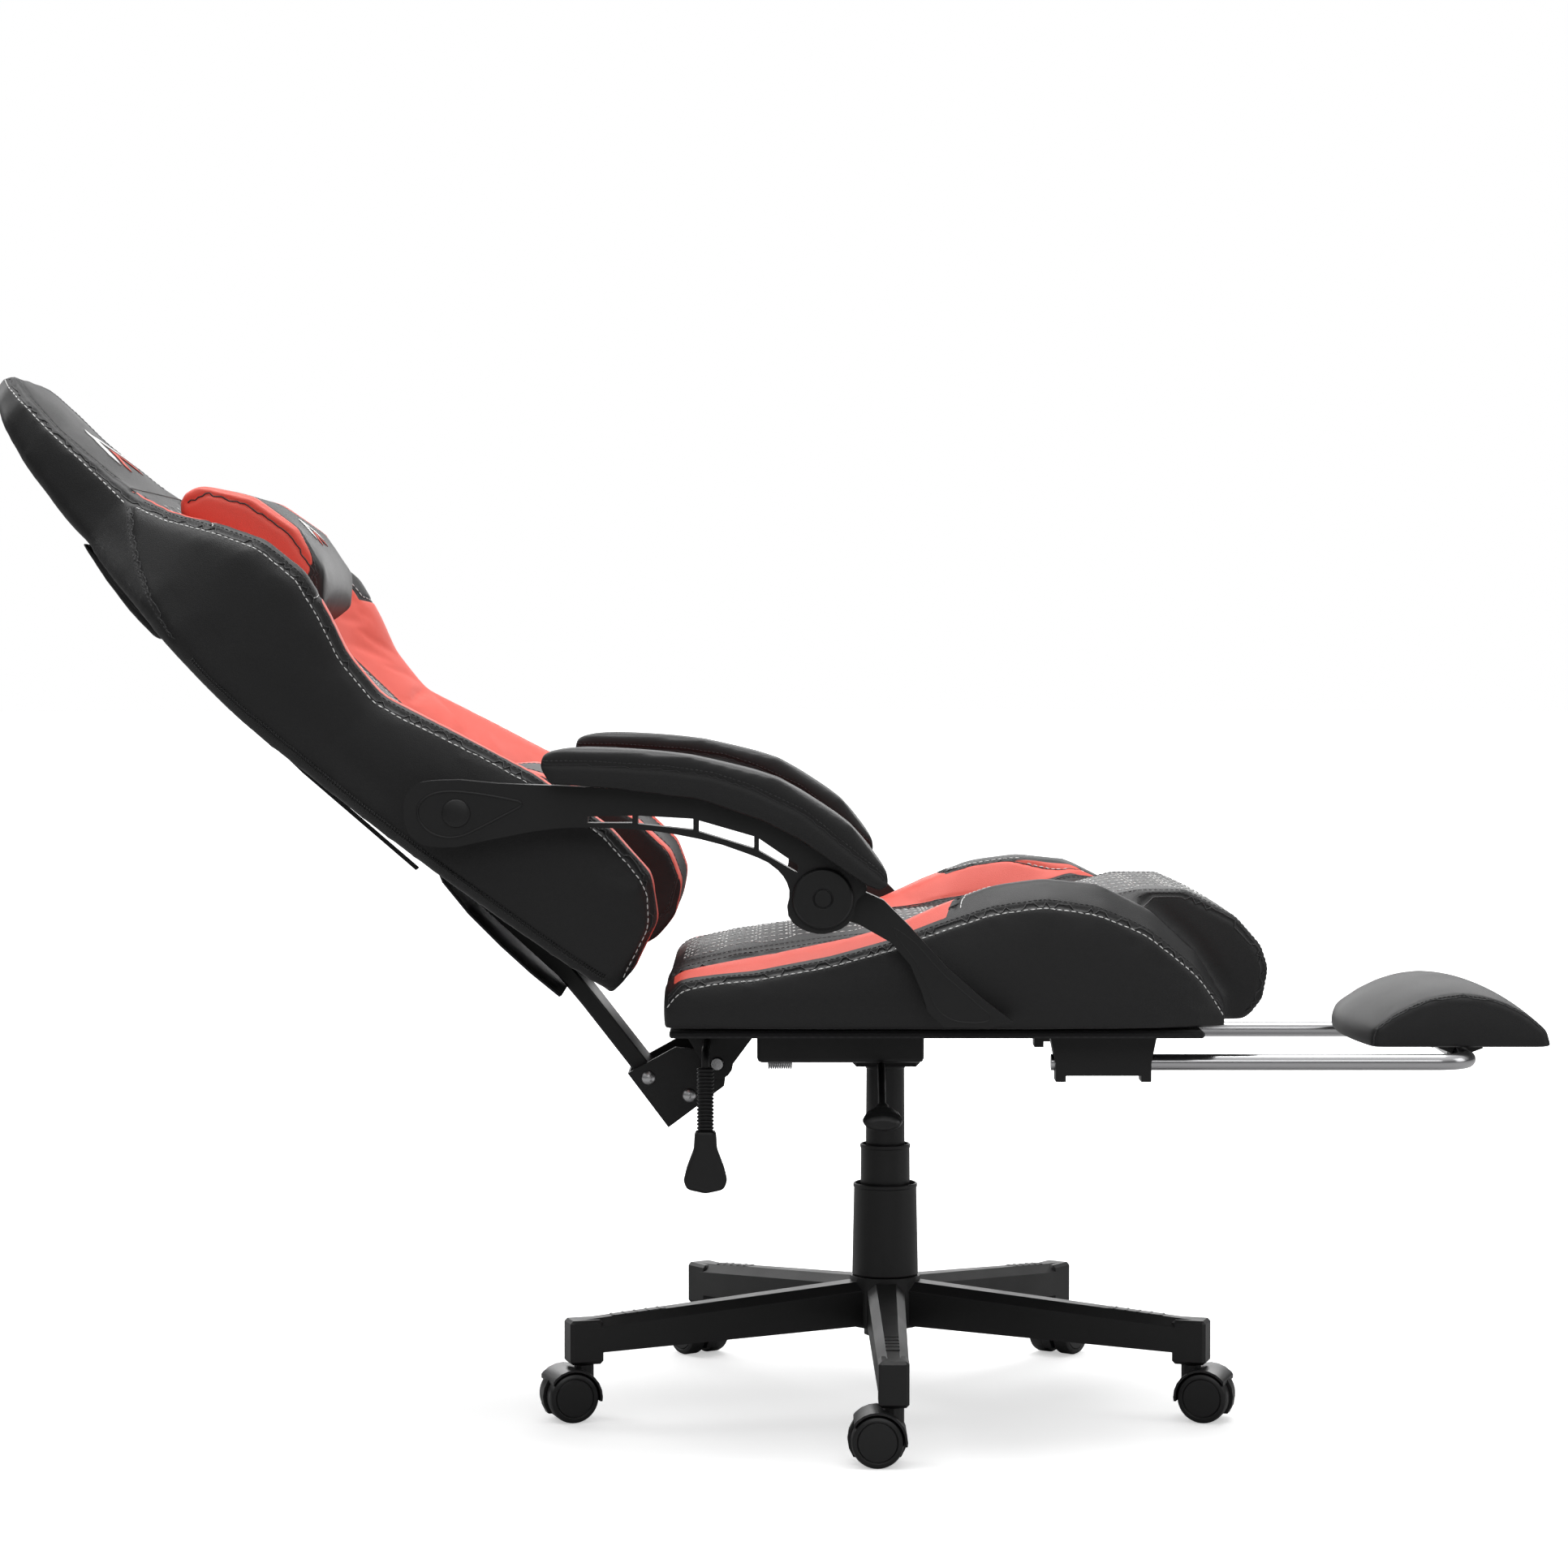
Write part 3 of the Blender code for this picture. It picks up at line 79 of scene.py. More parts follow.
def on_back(u, y, v):
    return BACK_FOOT + UP_BACK * u + LEFT * y + OUT_BACK * v


def on_seat(x, y, z):
    return Vector((LIFT_X + x, y, z))


def curve_at(stations, x, column=1):
    """The value in a column of a table of stations, between the two stations about x."""
    return np.interp(x, [row[0] for row in stations], [row[column] for row in stations])


print("lift axis at x =", round(LIFT_X, 4))

# %% [markdown]
# ## The camera
#
# The chair is seen square from its right side, from far enough away that near and far casters
# differ only a little in size. A long lens gives that, a little above seat height and looking
# very slightly down.

# %% Camera
camera_data = bpy.data.cameras.new("studio_camera")
camera_data.lens = 90.6
camera_data.sensor_width = 36
camera = bpy.data.objects.new("studio_camera", camera_data)
camera.location = (LIFT_X - 0.103, -4.0, 0.773)
camera.rotation_euler = (radians(90 - 2.07), 0, 0)
bpy.context.scene.collection.objects.link(camera)
bpy.context.scene.camera = camera
print("camera at", tuple(round(c, 3) for c in camera.location))

# %% [markdown]
# ## Node trees
#
# Every material, the sky and the shared effects are trees of nodes. These helpers make a node
# with its values, a sum of two sockets, and many links at once.

# %% Helpers for node trees
def node(tree, kind, values=None, **settings):
    """A node of that kind, with settings for its properties and values for its inputs."""
    made = tree.nodes.new("ShaderNode" + kind)
    for key, value in settings.items():
        setattr(made, key, value)
    for key, value in (values or {}).items():
        made.inputs[key].default_value = value
    return made


def join(tree, *pairs):
    """Links each pair of an output and an input."""
    for output, target in pairs:
        tree.links.new(output, target)


def maths(tree, operation, first, second):
    """A Math node whose two inputs are sockets or numbers."""
    made = node(tree, "Math", operation=operation)
    for socket, value in zip(made.inputs, (first, second)):
        if isinstance(value, (int, float)):
            socket.default_value = value
        else:
            tree.links.new(value, socket)
    return made.outputs["Value"]


def colour_mix(tree, share, first, second):
    """The mix of two colours, by a share that is a socket."""
    mix = node(tree, "Mix", {6: (*first, 1), 7: (*second, 1)}, data_type="RGBA")
    tree.links.new(share, mix.inputs["Factor"])
    return mix.outputs[2]


# %% [markdown]
# ## The studio
#
# The chair stands in a bright seamless studio. The floor is one wide pale disc that glows a
# little more away from the chair, so it meets the sky without a line. The lights are large soft
# panels: one overhead that draws long highlights along the cushions, faint ones at the near side
# and in front to open the shadows, one behind to edge the outline, and a long low one beyond the
# chair that leaves a sheen on everything that faces up.
# The sky and the floor are white to the eye, but the light that they shed is dim near the
# horizon, because black upholstery would otherwise turn grey all over.

# %% Floor
FLOOR_RADIUS = 40
floor_shape = bmesh.new()
bmesh.ops.create_circle(floor_shape, cap_ends=True, segments=64, radius=FLOOR_RADIUS)
floor_mesh = bpy.data.meshes.new("studio_floor")
floor_shape.to_mesh(floor_mesh)
floor_shape.free()
floor = bpy.data.objects.new("studio_floor", floor_mesh)
bpy.context.scene.collection.objects.link(floor)
floor_paint = bpy.data.materials.new("floor_paint")
floor_paint.use_nodes = True
paint = floor_paint.node_tree
paint_shader = paint.nodes["Principled BSDF"]
paint_shader.inputs["Roughness"].default_value = 0.8
paint_place = node(paint, "TexCoord")
paint_ray = node(paint, "LightPath")
paint_reach = node(paint, "VectorMath", operation="LENGTH")
glow_reach = {"From Min": 0.9, "From Max": 2.2, "To Min": 0.45, "To Max": 1.0}
paint_glow = node(paint, "MapRange", glow_reach)
paint_tone = colour_mix(paint, paint_ray.outputs["Is Camera Ray"], [0.34] * 3, [0.86] * 3)
join(
    paint,
    (paint_place.outputs["Object"], paint_reach.inputs[0]),
    (paint_reach.outputs["Value"], paint_glow.inputs["Value"]),
    (paint_glow.outputs["Result"], paint_shader.inputs["Emission Color"]),
    (paint_ray.outputs["Is Camera Ray"], paint_shader.inputs["Emission Strength"]),
    (paint_tone, paint_shader.inputs["Base Color"]),
)
floor_mesh.materials.append(floor_paint)
print("floor radius", FLOOR_RADIUS, "m")

# %% Sky
world = bpy.data.worlds.new("studio_sky")
bpy.context.scene.world = world
world.use_nodes = True
sky = world.node_tree
sky.nodes.clear()
sky_out = node(sky, "OutputWorld")
seen = node(sky, "Background", {"Color": (1, 1, 1, 1)})
shed = node(sky, "Background", {"Strength": 0.85})
choice = node(sky, "MixShader")
sky_ray = node(sky, "LightPath")
sky_place = node(sky, "TexCoord")
sky_height = node(sky, "SeparateXYZ")
dome = node(sky, "ValToRGB")
horizon, zenith = dome.color_ramp.elements
horizon.position, horizon.color = 0.05, (0.045, 0.045, 0.047, 1)
zenith.position, zenith.color = 0.85, (1, 1, 1, 1)
join(
    sky,
    (sky_place.outputs["Generated"], sky_height.inputs["Vector"]),
    (sky_height.outputs["Z"], dome.inputs["Fac"]),
    (dome.outputs["Color"], shed.inputs["Color"]),
    (sky_ray.outputs["Is Camera Ray"], choice.inputs["Fac"]),
    (shed.outputs["Background"], choice.inputs[1]),
    (seen.outputs["Background"], choice.inputs[2]),
    (choice.outputs["Shader"], sky_out.inputs["Surface"]),
)
bpy.context.scene.view_settings.view_transform = "Standard"
print("sky ready")


# %% Soft panels
def soft_panel(name, place, aim, size, power):
    """A rectangular area light at place that faces aim."""
    data = bpy.data.lights.new(name, "AREA")
    data.shape = "RECTANGLE"
    data.size, data.size_y = size
    data.energy = power
    panel = bpy.data.objects.new(name, data)
    panel.location = place
    panel.rotation_euler = (Vector(aim) - Vector(place)).to_track_quat("-Z", "Y").to_euler()
    bpy.context.scene.collection.objects.link(panel)


# name: place, size and power
SOFT_PANELS = {
    "overhead_panel": ((-0.1, 0.4, 3.4), (3.4, 2.4), 104),
    "side_panel": ((0.6, -4.6, 2.4), (3.0, 1.6), 17),
    "front_panel": ((3.8, -1.0, 1.6), (1.6, 2.2), 16),
    "rear_panel": ((-3.4, 2.2, 2.6), (2.0, 1.6), 36),
    "far_panel": ((0.2, 4.4, 1.5), (4.4, 1.5), 52),
}
SEAT_MIDDLE = (0.0, 0.0, 0.55)
for panel_name, (place, size, power) in SOFT_PANELS.items():
    soft_panel(panel_name, place, SEAT_MIDDLE, size, power)

# %% [markdown]
# ## Shared effects
#
# Several finishes share the same small-scale effects, so each is a node group that gives out a
# colour, a mask or a height, and each material feeds it its own values:
#
# - leather grain: rounded pebbles about a millimetre across, in soft creases;
# - moulded speckle: the spark-eroded texture of satin plastic;
# - slow tone: a wide, faint variation in gloss, as on anything handled.

# %% A start for node groups
def effect_group(name, inputs, outputs):
    """A new shader node group with number inputs as {name: value} and outputs as {name: kind}."""
    group = bpy.data.node_groups.new(name, "ShaderNodeTree")
    for socket_name, value in inputs.items():
        socket = group.interface.new_socket(socket_name, in_out="INPUT",
                                            socket_type="NodeSocketFloat")
        socket.default_value = value
    for socket_name, kind in outputs.items():
        group.interface.new_socket(socket_name, in_out="OUTPUT", socket_type=kind)
    entry = group.nodes.new("NodeGroupInput")
    leave = group.nodes.new("NodeGroupOutput")
    return group, entry, leave


# %% Leather grain
grain, grain_in, grain_out = effect_group(
    "leather_grain",
    {"Pebbles per Metre": 750.0, "Crease": 0.5},
    {"Height": "NodeSocketFloat", "Tone": "NodeSocketFloat"},
)
grain_place = node(grain, "TexCoord")
grain_warp = node(grain, "TexNoise", {"Scale": 260})
grain_shift = node(grain, "VectorMath", {"Scale": 0.0012}, operation="SCALE")
grain_spot = node(grain, "VectorMath", operation="ADD")
pebbles = node(grain, "TexVoronoi", feature="DISTANCE_TO_EDGE")
creases = node(grain, "TexNoise", {"Scale": 90, "Detail": 4})
pebble_top = maths(grain, "MINIMUM", pebbles.outputs["Distance"], 0.28)
crease_part = maths(grain, "MULTIPLY", creases.outputs["Fac"], grain_in.outputs["Crease"])
join(
    grain,
    (grain_place.outputs["Object"], grain_warp.inputs["Vector"]),
    (grain_warp.outputs["Color"], grain_shift.inputs[0]),
    (grain_place.outputs["Object"], grain_spot.inputs[0]),
    (grain_shift.outputs["Vector"], grain_spot.inputs[1]),
    (grain_spot.outputs["Vector"], pebbles.inputs["Vector"]),
    (grain_in.outputs["Pebbles per Metre"], pebbles.inputs["Scale"]),
    (grain_place.outputs["Object"], creases.inputs["Vector"]),
    (maths(grain, "ADD", pebble_top, crease_part), grain_out.inputs["Height"]),
    (creases.outputs["Fac"], grain_out.inputs["Tone"]),
)
print("effect:", grain.name)

# %% Moulded speckle
speckle, speckle_in, speckle_out = effect_group(
    "moulded_speckle",
    {"Specks per Metre": 2600.0},
    {"Height": "NodeSocketFloat"},
)
speckle_place = node(speckle, "TexCoord")
specks = node(speckle, "TexNoise", {"Detail": 2})
join(
    speckle,
    (speckle_place.outputs["Object"], specks.inputs["Vector"]),
    (speckle_in.outputs["Specks per Metre"], specks.inputs["Scale"]),
    (specks.outputs["Fac"], speckle_out.inputs["Height"]),
)
print("effect:", speckle.name)

# %% Slow tone
tone, tone_in, tone_out = effect_group(
    "slow_tone",
    {"Patches per Metre": 6.0, "Low": 0.9, "High": 1.1},
    {"Value": "NodeSocketFloat"},
)
tone_place = node(tone, "TexCoord")
tone_noise = node(tone, "TexNoise", {"Detail": 3})
tone_range = node(tone, "MapRange", {"From Min": 0.3, "From Max": 0.7})
join(
    tone,
    (tone_place.outputs["Object"], tone_noise.inputs["Vector"]),
    (tone_in.outputs["Patches per Metre"], tone_noise.inputs["Scale"]),
    (tone_noise.outputs["Fac"], tone_range.inputs["Value"]),
    (tone_in.outputs["Low"], tone_range.inputs["To Min"]),
    (tone_in.outputs["High"], tone_range.inputs["To Max"]),
    (tone_range.outputs["Result"], tone_out.inputs["Value"]),
)
print("effect:", tone.name)

# %% [markdown]
# ## Finishes
#
# A finish is a Principled shader fed by the effects above. Two helpers keep each one short:
# the first starts a finish with its plain values, and the second places an effect in it.

# %% A start for finishes
def finish(name, colour, roughness, metallic=0.0):
    """A material with a Principled shader and these plain values."""
    made = bpy.data.materials.new(name)
    made.use_nodes = True
    shader = made.node_tree.nodes["Principled BSDF"]
    shader.inputs["Base Color"].default_value = (*colour, 1)
    shader.inputs["Roughness"].default_value = roughness
    shader.inputs["Metallic"].default_value = metallic
    made.diffuse_color = (*colour, 1)
    return made, made.node_tree, shader


def effect(tree, group, **values):
    """An effect placed in a material. An underscore in a name stands for a space."""
    made = tree.nodes.new("ShaderNodeGroup")
    made.node_tree = group
    for key, value in values.items():
        made.inputs[key.replace("_", " ")].default_value = value
    return made


def vary_roughness(tree, shader, low, high, patches=6.0):
    """Lets the roughness drift slowly between two values."""
    drift = effect(tree, tone, Low=low, High=high, Patches_per_Metre=patches)
    tree.links.new(drift.outputs["Value"], shader.inputs["Roughness"])


def raise_bump(tree, shader, height, distance, strength=1.0):
    """Feeds a height, as a share of distance in metres, to the shader's normal."""
    bump = node(tree, "Bump", {"Distance": distance, "Strength": strength})
    join(tree, (height, bump.inputs["Height"]), (bump.outputs["Normal"], shader.inputs["Normal"]))


# %% Leather
BLACK_DYE = (0.0100, 0.0100, 0.0104)
RED_DYE = (0.72, 0.098, 0.068)
PANEL_BLUR = 0.0004  # how softly one colour meets the other


def leather(name, colour, pebbles_per_metre=750.0):
    """Synthetic leather: pebbled, with a soft gloss that drifts a little; the dye is even."""
    made, tree, shader = finish(name, colour, 0.48)
    shader.inputs["Specular IOR Level"].default_value = 0.45
    pebbled = effect(tree, grain, Pebbles_per_Metre=pebbles_per_metre, Crease=0.35)
    raise_bump(tree, shader, pebbled.outputs["Height"], 0.0004, 0.75)
    vary_roughness(tree, shader, 0.44, 0.54)
    return made, tree, shader


def two_tone_leather(name):
    """Leather that is red where the mesh's own attribute red is above 0, and black elsewhere."""
    made, tree, shader = leather(name, BLACK_DYE)
    panel = node(tree, "Attribute", attribute_name="red")
    edge = node(tree, "MapRange", {"From Min": -PANEL_BLUR, "From Max": PANEL_BLUR})
    dye = colour_mix(tree, edge.outputs["Result"], BLACK_DYE, RED_DYE)
    join(tree, (panel.outputs["Fac"], edge.inputs["Value"]), (dye, shader.inputs["Base Color"]))
    return made


black_leather = leather("black_leather", BLACK_DYE)[0]
panelled_leather = two_tone_leather("panelled_leather")
print("leathers:", black_leather.name, panelled_leather.name)

# %% Plastic and painted steel
def moulded(name, colour, low, high, specks, depth):
    """Moulded or powder-coated: fine specks and a gloss that drifts from low to high."""
    made, tree, shader = finish(name, colour, (low + high) / 2)
    fine = effect(tree, speckle, Specks_per_Metre=specks)
    raise_bump(tree, shader, fine.outputs["Height"], depth)
    vary_roughness(tree, shader, low, high, 14.0)
    return made


satin_plastic = moulded("satin_plastic", (0.0068, 0.0068, 0.0071), 0.38, 0.48, 2600.0, 0.00006)
smooth_plastic = moulded("smooth_plastic", (0.0070, 0.0070, 0.0073), 0.20, 0.28, 1200.0, 0.00002)
powder_coat = moulded("powder_coat", (0.0050, 0.0050, 0.0053), 0.40, 0.50, 900.0, 0.00008)
wheel_plastic = moulded("wheel_plastic", (0.0090, 0.0090, 0.0094), 0.30, 0.40, 1800.0, 0.00004)
print("moulded finishes ready")


# %% Bright metal
def bright_metal(name, colour, low, high):
    """Plated steel whose gloss drifts a little, as polishing leaves it."""
    made, tree, shader = finish(name, colour, (low + high) / 2, 1.0)
    vary_roughness(tree, shader, low, high, 40.0)
    return made


chrome_plate = bright_metal("chrome_plate", (0.56, 0.56, 0.57), 0.16, 0.24)
zinc_plate = bright_metal("zinc_plate", (0.62, 0.62, 0.63), 0.24, 0.36)
print("metals ready")


# %% Thread, webbing and lining
def woven(name, colour, threads_per_metre, roughness):
    """Threads crossing at right angles, as two sets of bands multiplied together."""
    made, tree, shader = finish(name, colour, roughness)
    place = node(tree, "TexCoord")
    warp = node(tree, "TexWave", bands_direction="Y")
    weft = node(tree, "TexWave", bands_direction="DIAGONAL")
    for bands in (warp, weft):
        bands.inputs["Scale"].default_value = threads_per_metre / 20
        tree.links.new(place.outputs["Object"], bands.inputs["Vector"])
    cross = maths(tree, "MULTIPLY", warp.outputs["Fac"], weft.outputs["Fac"])
    raise_bump(tree, shader, cross, 0.0004)
    shader.inputs["Sheen Weight"].default_value = 0.15
    return made


white_thread = woven("white_thread", (0.80, 0.80, 0.79), 3000, 0.7)
dark_thread = woven("dark_thread", (0.030, 0.030, 0.031), 3000, 0.7)
red_thread = woven("red_thread", (0.62, 0.085, 0.060), 3000, 0.7)
webbing = woven("webbing", (0.012, 0.012, 0.013), 900, 0.75)
lining = woven("lining", (0.014, 0.014, 0.015), 1400, 0.9)
print("threads and cloths ready")

# %% [markdown]
# ## Upholstery: how a piece is stuffed
#
# Real upholstery is flat panels sewn edge to edge and pulled over foam, so it swells between
# its seams and dips along them. Modelling that by hand takes many loops of faces. Here the plain
# solids are wrapped in one even skin, the skin is drawn in a little, and a short cloth
# simulation blows it up from inside while the seam lines are held in place. The result is
# applied, so what is left is an ordinary mesh.

# %% Plain mesh helpers
def merged_copy(*node_names):
    """A bmesh with copies of those nodes, the loose corners of each merged."""
    shape = bmesh.new()
    for node_name in node_names:
        shape.from_mesh(nodes[node_name].data)
    bmesh.ops.remove_doubles(shape, verts=shape.verts, dist=0.00005)
    shape.normal_update()
    return shape


def new_piece(name, shape, material=None):
    """The bmesh as an object at the origin, smooth-shaded."""
    mesh = bpy.data.meshes.new(name)
    shape.to_mesh(mesh)
    shape.free()
    mesh.shade_smooth()
    obj = bpy.data.objects.new(name, mesh)
    bpy.context.scene.collection.objects.link(obj)
    if material:
        mesh.materials.append(material)
    return obj


def apply_modifiers(obj):
    graph = bpy.context.evaluated_depsgraph_get()
    mesh = bpy.data.meshes.new_from_object(obj.evaluated_get(graph))
    obj.modifiers.clear()
    former = obj.data
    obj.data = mesh
    bpy.data.meshes.remove(former)


def read_points(obj, what="co"):
    """The vertices' places or normals as rows of three."""
    found = np.empty(len(obj.data.vertices) * 3)
    obj.data.vertices.foreach_get(what, found)
    return found.reshape(-1, 3)


def write_points(obj, points):
    obj.data.vertices.foreach_set("co", points.ravel())
    obj.data.update()


def write_number(obj, name, values):
    """Stores one number on each vertex, under a name that a material can read."""
    layer = obj.data.attributes.new(name, "FLOAT", "POINT")
    layer.data.foreach_set("value", values)


# %% The skin
def skin(name, node_names, voxel, draw_in):
    """One even mesh round the nodes' solids, drawn in by some metres."""
    shape = merged_copy(*node_names)
    for vert in shape.verts:
        vert.co += vert.normal * 0.0006
    obj = new_piece(name, shape)
    remesh = obj.modifiers.new("Skin", "REMESH")
    remesh.mode = "VOXEL"
    remesh.voxel_size = voxel
    relax = obj.modifiers.new("Relax", "SMOOTH")
    relax.factor = 0.5
    relax.iterations = 4
    apply_modifiers(obj)
    write_points(obj, read_points(obj) - read_points(obj, "normal") * draw_in)
    print(name, "skin has", len(obj.data.vertices), "points")
    return obj


# %% Lines on a skin
def evenly(line, pitch):
    """Points at an even pitch along a line through these points."""
    points = np.array([tuple(point) for point in line])
    steps = np.linalg.norm(np.diff(points, axis=0), axis=1)
    along = np.concatenate([[0], np.cumsum(steps)])
    count = max(2, int(round(along[-1] / pitch)))
    marks = np.linspace(0, along[-1], count + 1)
    return [Vector(p) for p in zip(*(np.interp(marks, along, points[:, i]) for i in range(3)))]


def both_sides(lines):
    """The lines and their mirror images in the middle plane."""
    return lines + [[Vector((p.x, -p.y, p.z)) for p in line] for line in lines]


def surface_of(obj):
    return BVHTree.FromObject(obj, bpy.context.evaluated_depsgraph_get())


def laid_on(surface, line):
    """The nearest places on the surface to the points of a line, with the normals there."""
    found = [surface.find_nearest(point) for point in line]
    return [(hit[0], hit[1]) for hit in found]


def settle(surface, lines, pitch=0.004):
    """Lines moved onto the surface, at an even pitch."""
    return [[place for place, _ in laid_on(surface, evenly(line, pitch))] for line in lines]


def distance_to(points, lines):
    """How far each point is from the nearest point of these lines."""
    marks = [point for line in lines for point in line]
    tree = KDTree(len(marks))
    for i, mark in enumerate(marks):
        tree.insert(mark, i)
    tree.balance()
    return np.array([tree.find(point)[2] for point in points])


# %% Stuffing
def stuff(obj, held, cap, pressure=4.0):
    """Blows the skin up while the held points stay. No point moves further than its cap."""
    before = read_points(obj)
    group = obj.vertex_groups.new(name="held")
    for index in np.flatnonzero(held > 0.01):
        group.add([int(index)], float(held[index]), "REPLACE")
    cloth = obj.modifiers.new("Stuffing", "CLOTH")
    settings = cloth.settings
    settings.quality = 4
    settings.tension_stiffness = 12
    settings.compression_stiffness = 12
    settings.shear_stiffness = 5
    settings.bending_stiffness = 0.4
    settings.use_pressure = True
    settings.uniform_pressure_force = pressure
    settings.vertex_group_mass = "held"
    settings.effector_weights.gravity = 0
    cloth.collision_settings.use_collision = False
    for number in range(1, 21):
        bpy.context.scene.frame_set(number)
    graph = bpy.context.evaluated_depsgraph_get()
    after = np.empty(before.size)
    obj.evaluated_get(graph).data.vertices.foreach_get("co", after)
    moved = after.reshape(-1, 3) - before
    length = np.maximum(np.linalg.norm(moved, axis=1), 1e-9)
    moved *= np.minimum(1, cap / length)[:, None]
    obj.modifiers.clear()
    obj.vertex_groups.clear()
    write_points(obj, before + moved)
    bpy.context.scene.frame_set(1)
    print(obj.name, "swelled by up to", round(float(np.linalg.norm(moved, axis=1).max()), 4))


def refine(obj, seams, depth=0.0016, width=0.0026):
    """One subdivision, then a narrow valley pressed along each seam."""
    halves = obj.modifiers.new("Halves", "SUBSURF")
    halves.levels = 1
    halves.render_levels = 1
    apply_modifiers(obj)
    points = read_points(obj)
    near = distance_to(points, [evenly(line, 0.0015) for line in seams])
    valley = depth * np.exp(-((near / width) ** 2))
    write_points(obj, points - read_points(obj, "normal") * valley[:, None])
    obj.data.shade_smooth()


def upholster(name, node_names, body, seams, material, voxel=0.0055, draw_in=0.004, cap=0.009,
              still=None, pressure=4.0):
    """A stuffed piece in place of plain solids. still gives how much other points are held."""
    obj = skin(name, node_names, voxel, draw_in)
    seams = settle(surface_of(obj), seams)
    points = read_points(obj)
    near = distance_to(points, seams) if seams else np.full(len(points), 1.0)
    held = np.clip((0.009 - near) / 0.006, 0, 1)
    if still:
        held = np.maximum(held, still(points))
    stuff(obj, held, np.full(len(points), cap), pressure)
    seams = settle(surface_of(obj), seams)
    refine(obj, seams)
    obj.data.materials.append(material)
    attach(obj, body)
    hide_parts(*node_names)
    print(name, "has", len(obj.data.polygons), "faces")
    return obj, surface_of(obj)


# %% [markdown]
# ## Sewing
#
# A seam shows as two things: a fine dark crease where the panels meet, and a row of raised
# stitches beside it. Both are real geometry here, laid on the stuffed surface: the crease is a
# thin cord sunk in the valley, and each stitch is a small closed grain of thread.

# %% One stitch
# Each kind of sewing: pitch, length and width
QUILTING = (0.0076, 0.0054, 0.0012)
FINE_SEWING = (0.0052, 0.0038, 0.0009)
FINEST_SEWING = (0.0045, 0.0034, 0.0009)


def stitch_mesh(length, width):
    shape = bmesh.new()
    bmesh.ops.create_uvsphere(shape, u_segments=6, v_segments=4, radius=0.5)
    bmesh.ops.rotate(shape, verts=shape.verts, matrix=Matrix.Rotation(pi / 2, 3, "Y"))
    bmesh.ops.scale(shape, verts=shape.verts, vec=(length, width, width))
    mesh = bpy.data.meshes.new("stitch")
    shape.to_mesh(mesh)
    shape.free()
    return mesh


def sew(name, surface, rows, thread, body, pitch=0.0068, length=0.0052, width=0.0013):
    """Rows of stitches lying on the surface, as one piece."""
    one = stitch_mesh(length, width)
    shape = bmesh.new()
    for row in rows:
        spots = laid_on(surface, evenly(row, pitch))
        for (here, normal), (beyond, _) in zip(spots, spots[1:]):
            along = beyond - here
            if along.length < length * 0.5 or along.length > pitch * 2:
                continue
            along.normalize()
            across = normal.cross(along).normalized()
            turn = Matrix((along, across, along.cross(across))).transposed()
            middle = (here + beyond) / 2 + normal * width * 0.15
            copy = one.copy()
            copy.transform(Matrix.Translation(middle) @ turn.to_4x4())
            shape.from_mesh(copy)
            bpy.data.meshes.remove(copy)
    obj = new_piece(name, shape, thread)
    bpy.data.meshes.remove(one)
    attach(obj, body)
    print(name, "has", len(obj.data.polygons) // 24, "stitches")
    return obj


# %% A round cord along lines
def cord(lines, radius, resolution):
    """A bmesh of closed round cords, one along each list of points."""
    curve = bpy.data.curves.new("cord", "CURVE")
    curve.dimensions = "3D"
    curve.bevel_depth = radius
    curve.bevel_resolution = resolution
    curve.use_fill_caps = True
    for line in lines:
        spline = curve.splines.new("POLY")
        spline.points.add(len(line) - 1)
        for point, place in zip(spline.points, line):
            point.co = (*place, 1)
    source = bpy.data.objects.new("cord_line", curve)
    bpy.context.scene.collection.objects.link(source)
    graph = bpy.context.evaluated_depsgraph_get()
    mesh = bpy.data.meshes.new_from_object(source.evaluated_get(graph))
    bpy.data.objects.remove(source)
    shape = bmesh.new()
    shape.from_mesh(mesh)
    bpy.data.meshes.remove(mesh)
    bmesh.ops.remove_doubles(shape, verts=shape.verts, dist=0.00002)
    bmesh.ops.recalc_face_normals(shape, faces=shape.faces)
    return shape


# %% The crease between two panels
def crease(name, surface, lines, material, body, radius=0.0008):
    """Thin cords half sunk along seam lines, as one piece."""
    sunk = radius * 0.2
    laid = [[place - normal * sunk for place, normal in laid_on(surface, evenly(line, 0.004))]
            for line in lines]
    obj = new_piece(name, cord(laid, radius, 1), material)
    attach(obj, body)


def beside(line, shift):
    """A line moved by the same small step."""
    return [point + shift for point in line]


print("sewing helpers ready")

# %% [markdown]
# ## The seat
#
# The seat is a quilted middle with a black roll along each edge, red inner sides, and raised
# bolsters: their rear is red, a black cap covers the front part, and black side panels hang
# from a white-stitched seam. All of it is one stuffed piece, because the panels share their
# seams. The colour of each panel is a distance stored on the mesh: above nought it is red.

